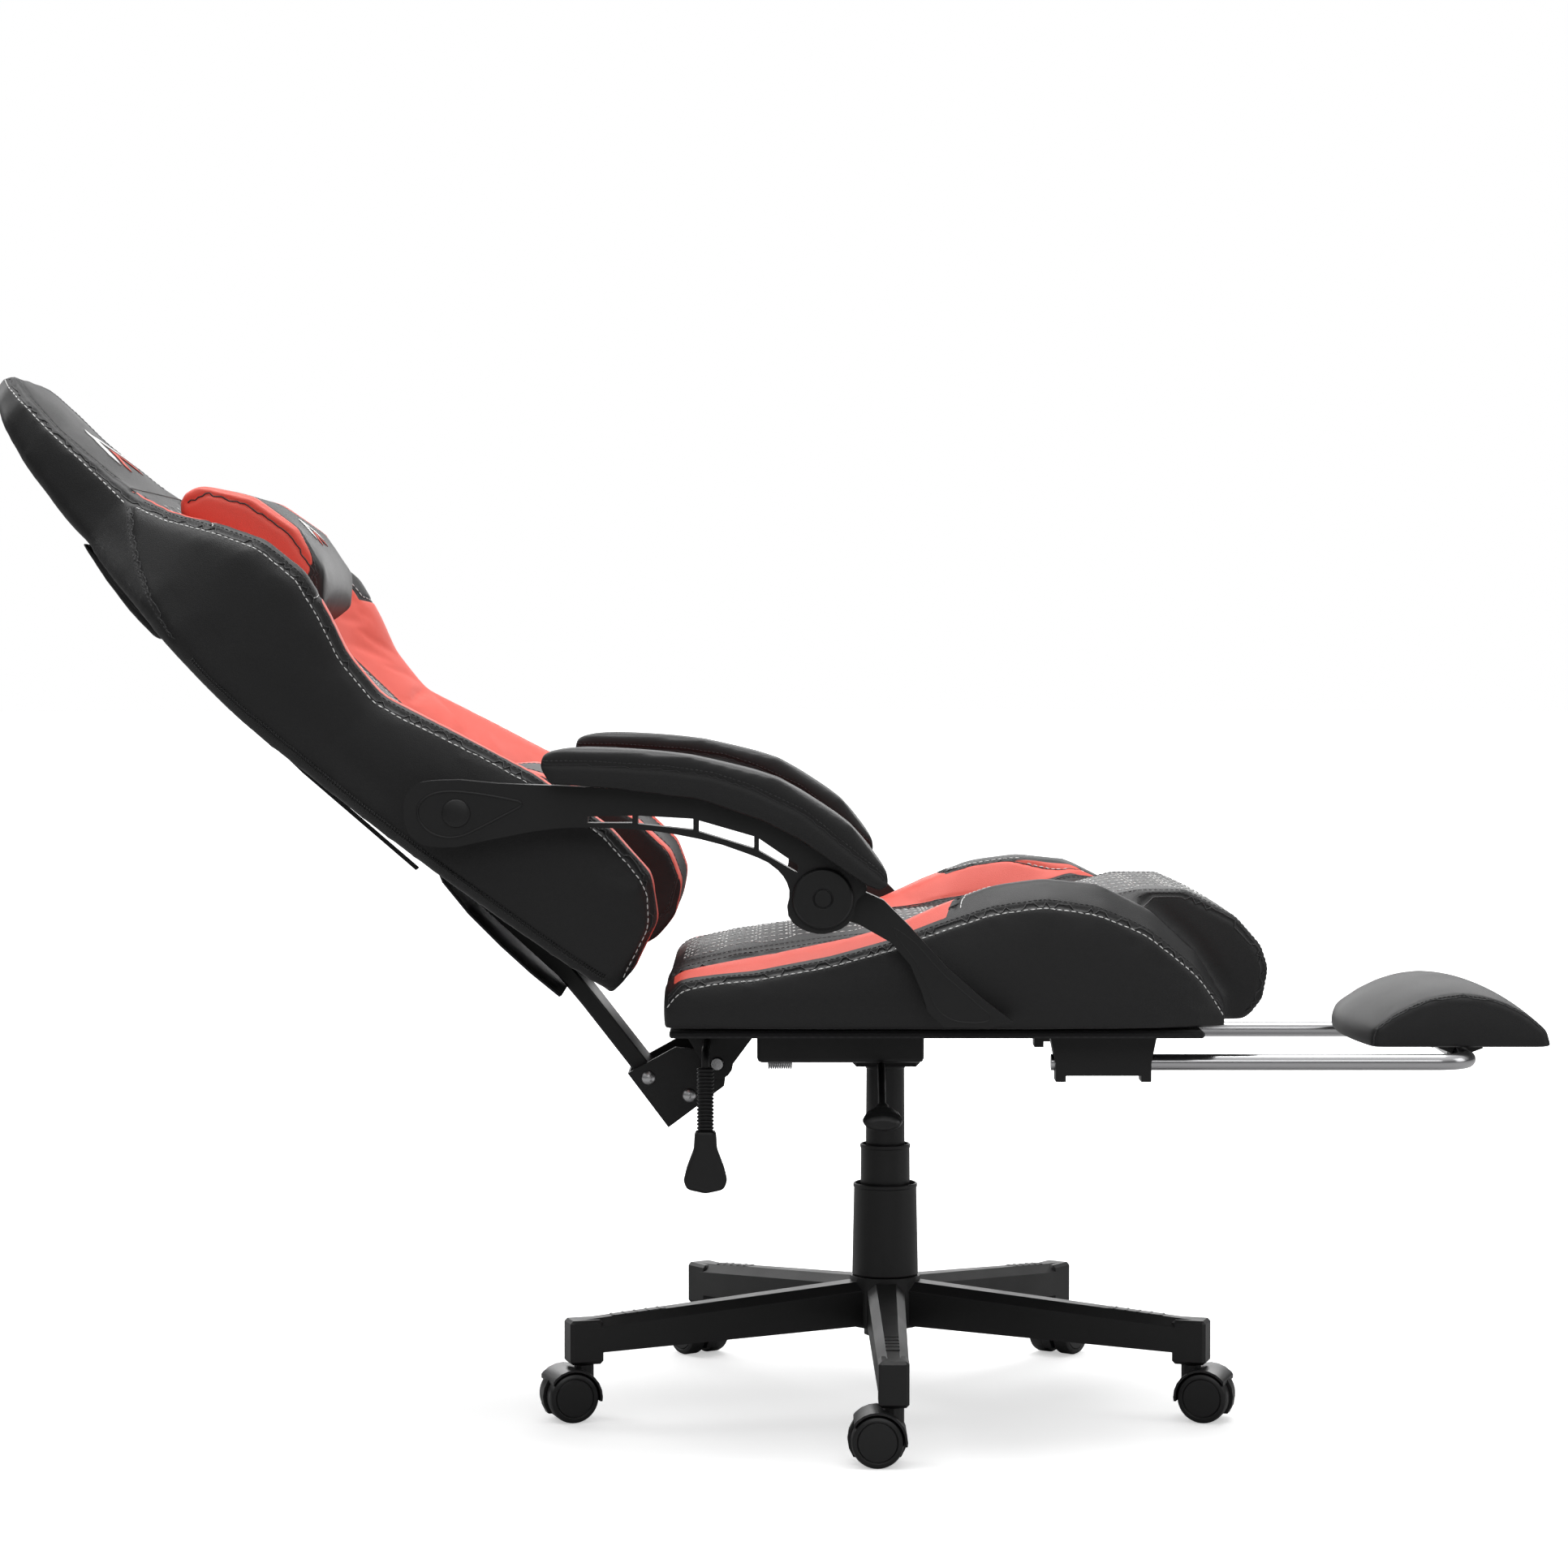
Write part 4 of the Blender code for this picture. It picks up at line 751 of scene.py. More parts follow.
# %% The seat's lines
SEAT_SIDE = [
    (-0.217, 0.430), (-0.203, 0.447), (-0.170, 0.457), (-0.131, 0.461), (-0.060, 0.474),
    (-0.007, 0.4875), (0.039, 0.505), (0.093, 0.522), (0.147, 0.529), (0.190, 0.522),
    (0.232, 0.508), (0.275, 0.478), (0.309, 0.444), (0.322, 0.420),
]
SEAT_HALF = [
    (-0.221, 0.256), (-0.203, 0.261), (-0.130, 0.264), (-0.060, 0.265), (0.145, 0.265),
    (0.200, 0.262), (0.250, 0.256), (0.295, 0.244), (0.324, 0.228),
]
SEAT_MIDDLE_LINE = [
    (-0.214, 0.455), (-0.150, 0.475), (-0.060, 0.488), (0.050, 0.497), (0.150, 0.511),
    (0.240, 0.534), (0.290, 0.534), (0.340, 0.508), (0.366, 0.478), (0.372, 0.455),
    (0.367, 0.423), (0.356, 0.408),
]
QUILT_HALF = 0.146
ROLL_HALF = 0.172
CAP_START = 0.055
CAP_INNER = 0.194
ROLL_SPREAD = [(0.120, 0.0), (0.200, 0.008), (0.330, 0.010)]
SEAM_BAND = 0.0065  # black leather left between the white seam and the red
RED_FRONT_X, RED_FRONT_Z, RED_LOW_Z = 0.25, 0.452, 0.430


def seat_run(y, spread=1.0):
    """A line from the rear of the seat over its top and down its front, y from the middle."""
    return [on_seat(x, y + spread * curve_at(ROLL_SPREAD, x), z) for x, z in SEAT_MIDDLE_LINE]


seat_side = [on_seat(x, curve_at(SEAT_HALF, x) - 0.002, z) for x, z in SEAT_SIDE]
cap_edge = [(CAP_START - 0.006, 0.258), (CAP_START, 0.236), (CAP_START + 0.006, 0.206),
            (CAP_START + 0.024, 0.191), (0.120, CAP_INNER), (0.200, CAP_INNER),
            (0.260, CAP_INNER - 0.002), (0.300, CAP_INNER - 0.006)]
seat_cap = [on_seat(x, y, 0.545 if x < 0.2 else 0.52 - (x - 0.2) * 0.4) for x, y in cap_edge]
seat_seams = [seat_side, seat_cap, seat_run(ROLL_HALF), seat_run(QUILT_HALF, 0)]
print("seat lines:", len(seat_seams), "each side")


# %% The stuffed seat
def seat_still(points):
    """The underside is tacked to the board, so it doesn't swell."""
    return np.clip((0.412 - points[:, 2]) / 0.008, 0, 1)


seat_skin, seat_surface = upholster(
    "seat_upholstery", ("seat_cushion", "seat_bolster_left", "seat_bolster_right"), "seat",
    both_sides(seat_seams), panelled_leather, still=seat_still,
)
seat_points = read_points(seat_skin) - np.array([LIFT_X, 0, 0])
seat_x, seat_y, seat_z = seat_points[:, 0], np.abs(seat_points[:, 1]), seat_points[:, 2]
to_cap = np.clip((seat_x - (CAP_START - 0.008) - (0.26 - seat_y) * 0.15) / 0.012, 0, 1)
seat_half = curve_at(SEAT_HALF, seat_x)
outer_edge = (seat_half - 0.003) * (1 - to_cap) + CAP_INNER * to_cap
roll_edge = ROLL_HALF + curve_at(ROLL_SPREAD, seat_x)
seat_red = np.minimum(seat_y - roll_edge, outer_edge - seat_y)
seat_red = np.minimum(seat_red, seat_x + 0.208)
red_floor = np.where(seat_x > RED_FRONT_X, RED_FRONT_Z, RED_LOW_Z)
seat_red = np.minimum(seat_red, seat_z - red_floor)
over_seam = seat_z - curve_at(SEAT_SIDE, seat_x) - SEAM_BAND
seat_red = np.minimum(seat_red, over_seam + 4 * np.maximum(seat_half - 0.016 - seat_y, 0))
write_number(seat_skin, "red", seat_red)

# %% [markdown]
# The quilting on the middle is a plain honeycomb of dashed white stitches. It is drawn flat, as
# distances along and across the seat, and each stitch is then laid on the surface.

# %% A honeycomb of quilting
HONEYCOMB_LONG = 0.046
HONEYCOMB_WIDE = 0.040


def honeycomb(length, half):
    """The edges of long hexagons, as pairs of (along, across), within half of the middle."""
    edges = []
    rows = int(half / HONEYCOMB_WIDE) + 2
    for column in range(int(length / (HONEYCOMB_LONG * 0.75)) + 2):
        s = column * HONEYCOMB_LONG * 0.75
        offset = HONEYCOMB_WIDE / 2 if column % 2 else 0
        for row in range(-rows, rows + 1):
            y = row * HONEYCOMB_WIDE + offset
            near = (s - HONEYCOMB_LONG / 4, y + HONEYCOMB_WIDE / 2)
            far = (s + HONEYCOMB_LONG / 4, y + HONEYCOMB_WIDE / 2)
            edges.append((near, far))
            edges.append((far, (s + HONEYCOMB_LONG / 2, y)))
            edges.append(((s + HONEYCOMB_LONG / 2, y), (far[0], y - HONEYCOMB_WIDE / 2)))
    inside = [(a, b) for a, b in edges if max(abs(a[1]), abs(b[1])) < half]
    return [(a, b) for a, b in inside if min(a[0], b[0]) > 0 and max(a[0], b[0]) < length]


def seat_quilt():
    """The honeycomb wrapped along the seat's middle line."""
    line = np.array(SEAT_MIDDLE_LINE)
    along = np.concatenate([[0], np.cumsum(np.linalg.norm(np.diff(line, axis=0), axis=1))])
    rows = []
    for edge in honeycomb(along[-1] - 0.01, QUILT_HALF - 0.008):
        row = []
        for s, y in edge:
            row.append(on_seat(np.interp(s, along, line[:, 0]), y, np.interp(s, along, line[:, 1])))
        rows.append(row)
    return rows


sew("seat_quilting", seat_surface, seat_quilt(), white_thread, "seat", *QUILTING)

# %% The seat's seams
seat_creases = both_sides(seat_seams)
crease("seat_creases", seat_surface, seat_creases, dark_thread, "seat")
white_rows = both_sides([
    beside(seat_side, Vector((0, 0, -0.0055))),
    [p + Vector((0.006, 0.004, 0)) for p in seat_cap],
])
sew("seat_white_stitches", seat_surface, white_rows, white_thread, "seat")
dark_rows = both_sides([
    beside(seat_side, Vector((0, -0.004, 0.0055))),
    seat_run(ROLL_HALF - 0.006),
    seat_run(QUILT_HALF + 0.006, 0),
])
sew("seat_dark_stitches", seat_surface, dark_rows, dark_thread, "seat", *FINE_SEWING)

# %% [markdown]
# ## The backrest
#
# The backrest is built like the seat, but it is described by the distance u up its rear line
# and v ahead of it. Its wings narrow at the waist and open again at the shoulders, and the head
# has its own panel. The inner sides of the wings are red, with a black cap on each shoulder.

# %% The backrest's lines
BACK_SIDE = [
    (0.012, 0.028), (0.024, 0.078), (0.045, 0.104), (0.080, 0.114), (0.120, 0.117),
    (0.170, 0.113), (0.211, 0.105), (0.255, 0.094), (0.299, 0.080), (0.340, 0.067),
    (0.3665, 0.061), (0.416, 0.068), (0.455, 0.084), (0.498, 0.097), (0.548, 0.093),
    (0.593, 0.073), (0.637, 0.048), (0.668, 0.036),
]
BACK_HALF = [
    (0.007, 0.238), (0.024, 0.252), (0.060, 0.261), (0.120, 0.264), (0.210, 0.264),
    (0.300, 0.258), (0.366, 0.252), (0.416, 0.256), (0.455, 0.263), (0.498, 0.268),
    (0.548, 0.264), (0.593, 0.246), (0.637, 0.215), (0.678, 0.181),
]
HEAD_EDGE = [
    (0.678, 0.180), (0.710, 0.168), (0.745, 0.162), (0.780, 0.157), (0.825, 0.140),
    (0.852, 0.112), (0.866, 0.070), (0.869, 0.030), (0.869, 0.000),
]
SHOULDER_LOW, SHOULDER_HIGH = 0.474, 0.602
SHOULDER_INNER = 0.206
BACK_QUILT_HALF, BACK_ROLL_HALF = 0.112, 0.140
FACE = 0.045
HEAD_START = 0.684
WING_BAND = 0.018  # black leather left outside the red on each wing

back_side = [on_back(u, curve_at(BACK_HALF, u) - 0.004, v) for u, v in BACK_SIDE]
head_side = [on_back(u, y - 0.003, 0.030) for u, y in HEAD_EDGE]
head_panel = [on_back(u - 0.006, max(y - 0.024, 0.0), 0.036) for u, y in HEAD_EDGE[1:]]
head_join = [on_back(HEAD_START, y, FACE) for y in (0.0, 0.05, 0.10, 0.17)]
side_join = [on_back(u, curve_at(BACK_HALF, u), v) for u, v in
             ((0.672, 0.026), (0.655, 0.012), (0.628, -0.004), (0.590, -0.020), (0.545, -0.034))]
MIDDLE_RUN = (0.030, 0.20, 0.40, 0.60, 0.676)
back_roll = [on_back(u, BACK_ROLL_HALF, FACE) for u in MIDDLE_RUN]
back_quilt_edge = [on_back(u, BACK_QUILT_HALF, FACE) for u in MIDDLE_RUN]
shoulder_cap = [on_back(u, y, v) for u, y, v in
                ((0.602, 0.232, 0.075), (0.597, 0.212, 0.070), (0.580, SHOULDER_INNER, 0.082),
                 (0.545, SHOULDER_INNER, 0.092), (0.505, SHOULDER_INNER, 0.094),
                 (0.482, 0.212, 0.090), (0.474, 0.232, 0.092), (0.473, 0.252, 0.090))]
back_seams = [back_side + head_side, head_panel, head_join, side_join, back_roll,
              back_quilt_edge, shoulder_cap]
print("backrest lines:", len(back_seams), "each side")


# %% The stuffed backrest
def ahead_of_back(points):
    """How far each point is ahead of the backrest's rear line."""
    return (points - np.array(tuple(BACK_FOOT))) @ np.array(tuple(OUT_BACK))


def up_the_back(points):
    """How far each point is up the backrest's rear line."""
    return (points - np.array(tuple(BACK_FOOT))) @ np.array(tuple(UP_BACK))


def back_still(points):
    """The rear is a flat shell under its cover, so it hardly swells."""
    ahead = ahead_of_back(points)
    return np.clip((0.004 - ahead) / 0.012, 0, 0.75)


back_skin, back_surface = upholster(
    "back_upholstery", ("back_cushion", "back_wing_left", "back_wing_right"), "back",
    both_sides(back_seams), panelled_leather, voxel=0.0062, still=back_still,
)
back_points = read_points(back_skin)
back_u, back_v = up_the_back(back_points), ahead_of_back(back_points)
back_y = np.abs(back_points[:, 1])
near_cap = np.minimum(back_u - SHOULDER_LOW, SHOULDER_HIGH - back_u)
to_cap = np.clip(0.5 + near_cap / 0.014, 0, 1)
outer_edge = (curve_at(BACK_HALF, back_u) - WING_BAND) * (1 - to_cap) + SHOULDER_INNER * to_cap
back_red = np.minimum(back_y - BACK_ROLL_HALF, outer_edge - back_y)
back_red = np.minimum(back_red, HEAD_START - 0.002 - back_u)
back_red = np.minimum(back_red, back_v - 0.020)
back_red = np.minimum(back_red, back_u - 0.012)
write_number(back_skin, "red", back_red)

# %% The backrest's seams
back_quilt = [[on_back(0.034 + s, y, FACE) for s, y in edge]
              for edge in honeycomb(0.640, BACK_QUILT_HALF - 0.008)]
sew("back_quilting", back_surface, back_quilt, white_thread, "back", *QUILTING)
crease("back_creases", back_surface, both_sides(back_seams), dark_thread, "back")
white_rows = both_sides([
    beside(back_side, OUT_BACK * -0.006),
    beside(head_side, OUT_BACK * -0.006),
    beside(shoulder_cap, LEFT * 0.005),
])
sew("back_white_stitches", back_surface, white_rows, white_thread, "back")
dark_rows = both_sides([
    [p + OUT_BACK * 0.004 - LEFT * 0.005 for p in back_side],
    beside(head_panel, LEFT * 0.004),
    beside(side_join, UP_BACK * 0.005),
    [on_back(u, BACK_ROLL_HALF - 0.006, FACE) for u in (0.030, 0.30, 0.50, 0.676)],
    [on_back(u, BACK_QUILT_HALF + 0.006, FACE) for u in (0.030, 0.30, 0.50, 0.676)],
])
sew("back_dark_stitches", back_surface, dark_rows, dark_thread, "back", *FINE_SEWING)

# %% [markdown]
# ## Loose cushions
#
# The lumbar cushion and the head pillow hang on straps in front of the backrest. Each is a
# plump stuffed bag with a seam round each end, black in the middle and red towards the ends.

# %% The lumbar cushion
LUMBAR_LINE = [
    (0.028, 0.060), (0.024, 0.095), (0.040, 0.124), (0.070, 0.137), (0.110, 0.137),
    (0.170, 0.122), (0.220, 0.098), (0.243, 0.072),
]


def lumbar_run(y):
    return [on_back(u, y, v) for u, v in LUMBAR_LINE]


def rest_on_face(points):
    """The rear of a loose cushion lies flat on the backrest."""
    return np.clip((FACE + 0.012 - ahead_of_back(points)) / 0.008, 0, 1)


LUMBAR_STRIPE, LUMBAR_END = 0.088, 0.137
lumbar_seams = both_sides([lumbar_run(LUMBAR_STRIPE), lumbar_run(LUMBAR_END)])
lumbar_skin, lumbar_surface = upholster(
    "lumbar_bag", ("lumbar_cushion",), "lumbar", lumbar_seams, panelled_leather,
    voxel=0.005, draw_in=0.004, cap=0.012, still=rest_on_face,
)
lumbar_y = np.abs(read_points(lumbar_skin)[:, 1])
write_number(lumbar_skin, "red", np.minimum(lumbar_y - LUMBAR_STRIPE, LUMBAR_END - lumbar_y))
crease("lumbar_creases", lumbar_surface, lumbar_seams, dark_thread, "lumbar")
sew("lumbar_stitches", lumbar_surface,
    both_sides([lumbar_run(LUMBAR_STRIPE - 0.005), lumbar_run(LUMBAR_END + 0.005)]),
    dark_thread, "lumbar", *FINE_SEWING)

# %% The head pillow
PILLOW_LINE = [
    (0.487, 0.075), (0.500, 0.098), (0.520, 0.112), (0.545, 0.118), (0.575, 0.115),
    (0.600, 0.110), (0.640, 0.085), (0.648, 0.062),
]


def pillow_half(u):
    """Where the black middle ends: it widens towards the lower edge."""
    return 0.074 + (0.645 - u) * 0.40


pillow_seam = [on_back(u, pillow_half(u), v) for u, v in PILLOW_LINE]
pillow_end = [on_back(u, 0.131, v) for u, v in
              ((0.500, 0.060), (0.492, 0.078), (0.505, 0.098), (0.548, 0.108), (0.595, 0.101),
               (0.632, 0.083), (0.640, 0.062))]
pillow_skin, pillow_surface = upholster(
    "head_pillow_bag", ("head_pillow",), "pillow",
    both_sides([pillow_seam, pillow_end]), panelled_leather,
    voxel=0.005, draw_in=0.003, cap=0.012, still=rest_on_face,
)
pillow_points = read_points(pillow_skin)
pillow_red = np.abs(pillow_points[:, 1]) - pillow_half(up_the_back(pillow_points))
write_number(pillow_skin, "red", pillow_red)
crease("pillow_creases", pillow_surface, both_sides([pillow_seam, pillow_end]), dark_thread,
       "pillow")

# %% [markdown]
# ## Armrest pads and footrest pad
#
# Each arm pad is a long bag of leather over foam, with one seam along each side. The footrest
# pad is a low dome with a flat underside, a little higher in the middle than at its ends.

# %% The arm pads
ARM_SEAM = [
    (-0.3300, 0.6586), (-0.2900, 0.6585), (-0.2524, 0.6563), (-0.2100, 0.6535),
    (-0.1685, 0.6475), (-0.1324, 0.6356), (-0.0843, 0.6130), (-0.0364, 0.5735),
    (-0.0080, 0.5510),
]


def arm_still(points):
    """The underside is clamped to the moulded frame."""
    top = curve_at(ARM_SEAM, points[:, 0] - LIFT_X)
    return np.clip((top - 0.006 - points[:, 2]) / 0.006, 0, 0.9)


for side_name, side in SIDES.items():
    seams = [[on_seat(x, side * y, z) for x, z in ARM_SEAM] for y in (0.342, 0.274)]
    pad, pad_surface = upholster(
        f"arm_pad_leather_{side_name}", (f"arm_pad_{side_name}",), f"arm_{side_name}",
        seams, black_leather, voxel=0.004, draw_in=0.0022, cap=0.006, still=arm_still,
    )
    crease(f"arm_pad_creases_{side_name}", pad_surface, seams, dark_thread, f"arm_{side_name}",
           0.0006)
    rows = [beside(seam, Vector((0, 0, 0.0035))) for seam in seams]
    sew(f"arm_pad_stitches_{side_name}", pad_surface, rows, dark_thread, f"arm_{side_name}",
        *FINEST_SEWING)

# %% The footrest pad
rest_low, rest_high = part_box("footrest_pad")
rest_middle = (rest_low + rest_high) / 2
REST_SEAM_SHARE = [
    (0.015, 0.02), (0.020, 0.34), (0.125, 0.60), (0.30, 0.86), (0.50, 0.955), (0.70, 0.86),
    (0.875, 0.60), (0.975, 0.32), (0.985, 0.02),
]


def rest_still(points):
    return np.clip((rest_low.z + 0.006 - points[:, 2]) / 0.005, 0, 1)


rest_size = rest_high - rest_low
rest_seam = [Vector((rest_low.x + rest_size.x * s, rest_high.y, rest_low.z + rest_size.z * t))
             for s, t in REST_SEAM_SHARE]
rest_pad, rest_surface = upholster(
    "footrest_leather", ("footrest_pad",), "footrest_flip", both_sides([rest_seam]),
    black_leather, voxel=0.005, draw_in=0.003, cap=0.012, still=rest_still,
)
rest_points = read_points(rest_pad)
rest_share = np.clip(1 - (rest_points[:, 1] / rest_high.y) ** 2, 0, 1)
rest_rise = np.clip((rest_points[:, 2] - rest_low.z) / rest_size.z, 0, 1)
rest_points[:, 2] += 0.007 * rest_share * rest_rise
rest_rear = np.clip((rest_middle.x - rest_points[:, 0]) / rest_size.x, 0, 0.5) * 2
rest_points[:, 0] -= 0.016 * rest_share * rest_rear
write_points(rest_pad, rest_points)
rest_surface = surface_of(rest_pad)
crease("footrest_creases", rest_surface, both_sides([rest_seam]), dark_thread, "footrest_flip",
       0.0007)
sew("footrest_stitches", rest_surface,
    both_sides([[p + Vector((0, -0.0045, 0)) for p in rest_seam[1:-1]]]), dark_thread,
    "footrest_flip", *FINEST_SEWING)

# %% [markdown]
# ## Moulded and pressed pieces
#
# Many hard pieces already have the right shape in the skeleton, so they stay and only gain a
# finish. Their edges are knife-sharp, though, and nothing real is: an edge that has been
# moulded, pressed or turned has a small radius that catches the light. Modifiers add it without
# touching the mesh: Weld joins the loose triangles, Bevel rounds the sharp edges, a small node
# group smooths the shading across gentle angles, and Weighted Normal keeps flat faces flat.

# %% Smooth shading below an angle
def smoothing_group():
    """Geometry nodes that shade smooth, except over edges sharper than the angle given."""
    group = bpy.data.node_groups.new("smooth_by_angle", "GeometryNodeTree")
    shape_kind = "NodeSocketGeometry"
    group.interface.new_socket("Geometry", in_out="INPUT", socket_type=shape_kind)
    limit = group.interface.new_socket("Angle", in_out="INPUT", socket_type="NodeSocketFloat")
    limit.default_value = radians(35)
    group.interface.new_socket("Geometry", in_out="OUTPUT", socket_type=shape_kind)
    entry = group.nodes.new("NodeGroupInput")
    leave = group.nodes.new("NodeGroupOutput")
    edge = group.nodes.new("GeometryNodeInputMeshEdgeAngle")
    sharp = group.nodes.new("FunctionNodeCompare")
    sharp.operation = "GREATER_THAN"
    faces = group.nodes.new("GeometryNodeSetShadeSmooth")
    edges = group.nodes.new("GeometryNodeSetShadeSmooth")
    edges.domain = "EDGE"
    edges.inputs["Shade Smooth"].default_value = False
    group.links.new(edge.outputs["Unsigned Angle"], sharp.inputs[0])
    group.links.new(entry.outputs["Angle"], sharp.inputs[1])
    group.links.new(entry.outputs["Geometry"], faces.inputs["Geometry"])
    group.links.new(faces.outputs["Geometry"], edges.inputs["Geometry"])
    group.links.new(sharp.outputs["Result"], edges.inputs["Selection"])
    group.links.new(edges.outputs["Geometry"], leave.inputs["Geometry"])
    return group


smoothing = smoothing_group()


# %% Softened edges
def soften(obj, width, segments=2, angle=28):
    """Rounds the edges sharper than an angle and shades the rest smooth."""
    weld = obj.modifiers.new("Weld", "WELD")
    weld.merge_threshold = 0.00005
    if width:
        bevel = obj.modifiers.new("Bevel", "BEVEL")
        bevel.width = width
        bevel.segments = segments
        bevel.limit_method = "ANGLE"
        bevel.angle_limit = radians(angle)
    smooth = obj.modifiers.new("Smooth", "NODES")
    smooth.node_group = smoothing
    flats = obj.modifiers.new("Flats", "WEIGHTED_NORMAL")
    flats.keep_sharp = True


def keep(node_name, material, width=0.0008, segments=2):
    """A skeleton piece that stays, with a finish and softened edges."""
    obj = nodes[node_name]
    for slot in obj.material_slots:
        slot.material = material
    soften(obj, width, segments)


kept = {
    "star_base": (satin_plastic, 0.0016, 3),
    "seat_mechanism": (powder_coat, 0.0, 2),
    "seat_board": (lining, 0.0, 2),
    "recline_bracket": (powder_coat, 0.0008, 2),
    "recline_axle": (zinc_plate, 0.0006, 2),
    "back_bracket": (powder_coat, 0.0010, 2),
    "back_bar": (powder_coat, 0.0008, 2),
    "back_lower_cover": (satin_plastic, 0.0010, 2),
    "gas_lift_tube": (powder_coat, 0.0008, 2),
    "height_lever_rod": (powder_coat, 0.0006, 2),
}
for side_name in SIDES:
    kept[f"strap_{side_name}"] = (webbing, 0.0004, 2)
    kept[f"footrest_guide_{side_name}"] = (powder_coat, 0.0010, 2)
    kept[f"footrest_clip_{side_name}"] = (powder_coat, 0.0004, 2)
    kept[f"post_pin_{side_name}"] = (zinc_plate, 0.0006, 2)
    kept[f"arm_frame_{side_name}"] = (satin_plastic, 0.0012, 3)
    kept[f"arm_post_{side_name}"] = (satin_plastic, 0.0014, 3)
for number in range(1, 6):
    kept[f"caster_fork_{number}"] = (wheel_plastic, 0.0007, 2)
for node_name, (material, width, segments) in kept.items():
    keep(node_name, material, width, segments)
print("kept", len(kept), "skeleton pieces")

# %% [markdown]
# ## Turned pieces
#
# Wheels, covers, discs and bolts are all round. Each is half of its outline, spun round its
# axis in many small steps, so that its edge is a true circle even close up. The joints of the
# skeleton say where those axes are.

# %% Spinning an outline
def spun(profile, place, axis=(0, 0, 1), steps=64):
    """A bmesh of (radius, height) points spun round the axis through place."""
    shape = bmesh.new()
    corners = [shape.verts.new((radius, 0, height)) for radius, height in profile]
    lines = [shape.edges.new(pair) for pair in zip(corners, corners[1:])]
    bmesh.ops.spin(shape, geom=corners + lines, cent=(0, 0, 0), axis=(0, 0, 1), dvec=(0, 0, 0),
                   angle=2 * pi, steps=steps, use_merge=True, use_duplicate=False)
    bmesh.ops.remove_doubles(shape, verts=shape.verts, dist=0.00001)
    bmesh.ops.recalc_face_normals(shape, faces=shape.faces)
    turn = Vector((0, 0, 1)).rotation_difference(Vector(axis)).to_matrix().to_4x4()
    bmesh.ops.transform(shape, matrix=Matrix.Translation(place) @ turn, verts=shape.verts)
    return shape


def hard_piece(name, shape, material, body, width=0.0006, stands_for=()):
    """A finished hard piece: its material, its body and softened edges."""
    obj = new_piece(name, shape, material)
    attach(obj, body)
    if stands_for:
        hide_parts(*stands_for)
    soften(obj, width)
    return obj


# %% Caster wheels
WHEEL_RADIUS, WHEEL_INNER, WHEEL_OUTER, CAP_RADIUS = 0.025, 0.00575, 0.02425, 0.0192
half_wheel = [
    (0.0, WHEEL_OUTER - 0.0006), (0.012, WHEEL_OUTER - 0.0004),
    (CAP_RADIUS - 0.0010, WHEEL_OUTER - 0.0004), (CAP_RADIUS - 0.0006, WHEEL_OUTER - 0.0012),
    (CAP_RADIUS, WHEEL_OUTER - 0.0012), (CAP_RADIUS + 0.0004, WHEEL_OUTER),
    (WHEEL_RADIUS - 0.0040, WHEEL_OUTER), (WHEEL_RADIUS - 0.0014, WHEEL_OUTER - 0.0010),
    (WHEEL_RADIUS, WHEEL_OUTER - 0.0042), (WHEEL_RADIUS, WHEEL_INNER + 0.0022),
    (WHEEL_RADIUS - 0.0012, WHEEL_INNER), (WHEEL_RADIUS - 0.0035, WHEEL_INNER),
    (WHEEL_RADIUS - 0.0045, WHEEL_INNER + 0.0015), (0.0040, WHEEL_INNER + 0.0015),
]
wheel_pair = half_wheel + [(radius, -height) for radius, height in reversed(half_wheel)]
for number in range(1, 6):
    roll = joints[f"wheels_{number}_roll"]
    shape = spun(wheel_pair, roll["pos_m"], roll["axis"], 48)
    hard_piece(f"wheel_pair_{number}", shape, wheel_plastic, f"wheels_{number}",
               0.0005, (f"caster_wheels_{number}",))
print("five pairs of wheels")

# %% The telescopic cover and the piston rod
COVER_WALL = 0.0020
# Each cover: its body, its radius and its radius at the foot
COVERS = {
    "lift_cover_bottom": ("base", 0.0325, 0.0335),
    "lift_cover_middle": ("lift_middle", 0.0255, 0.0255),
    "lift_cover_top": ("lift", 0.0200, 0.0200),
}
for node_name, (body, radius, foot) in COVERS.items():
    bore = radius - COVER_WALL
    low, high = (corner.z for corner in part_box(node_name))
    sleeve = [
        (bore, high - 0.0004), (radius - 0.0010, high), (radius, high - 0.0008),
        (radius, high - 0.0040), (radius - 0.0007, high - 0.0046), (foot, low + 0.0015),
        (foot - 0.0008, low), (foot - COVER_WALL, low), (bore - 0.0007, high - 0.0046),
        (bore, high - 0.0004),
    ]
    shape = spun(sleeve, (LIFT_X, 0, 0))
    hard_piece(node_name + "_sleeve", shape, satin_plastic, body, 0.0003,
               (node_name,))
rod_low, rod_high = (corner.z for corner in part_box("gas_piston_rod"))
rod = [(0.0, rod_low), (0.0122, rod_low), (0.0128, rod_low + 0.0008),
       (0.0128, rod_high - 0.0008), (0.0120, rod_high), (0.0, rod_high)]
hard_piece("piston_rod", spun(rod, (LIFT_X, 0, 0)), chrome_plate, "lift", 0.0,
           ("gas_piston_rod",))
print("lift covers and rod")

# %% Armrest discs and rear caps
def across(node_name):
    """A node's middle in the middle plane, and how far out its faces are."""
    low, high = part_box(node_name)
    middle = (low + high) / 2
    inner, face = sorted((abs(low.y), abs(high.y)))
    return (middle.x, 0, middle.z), inner, face


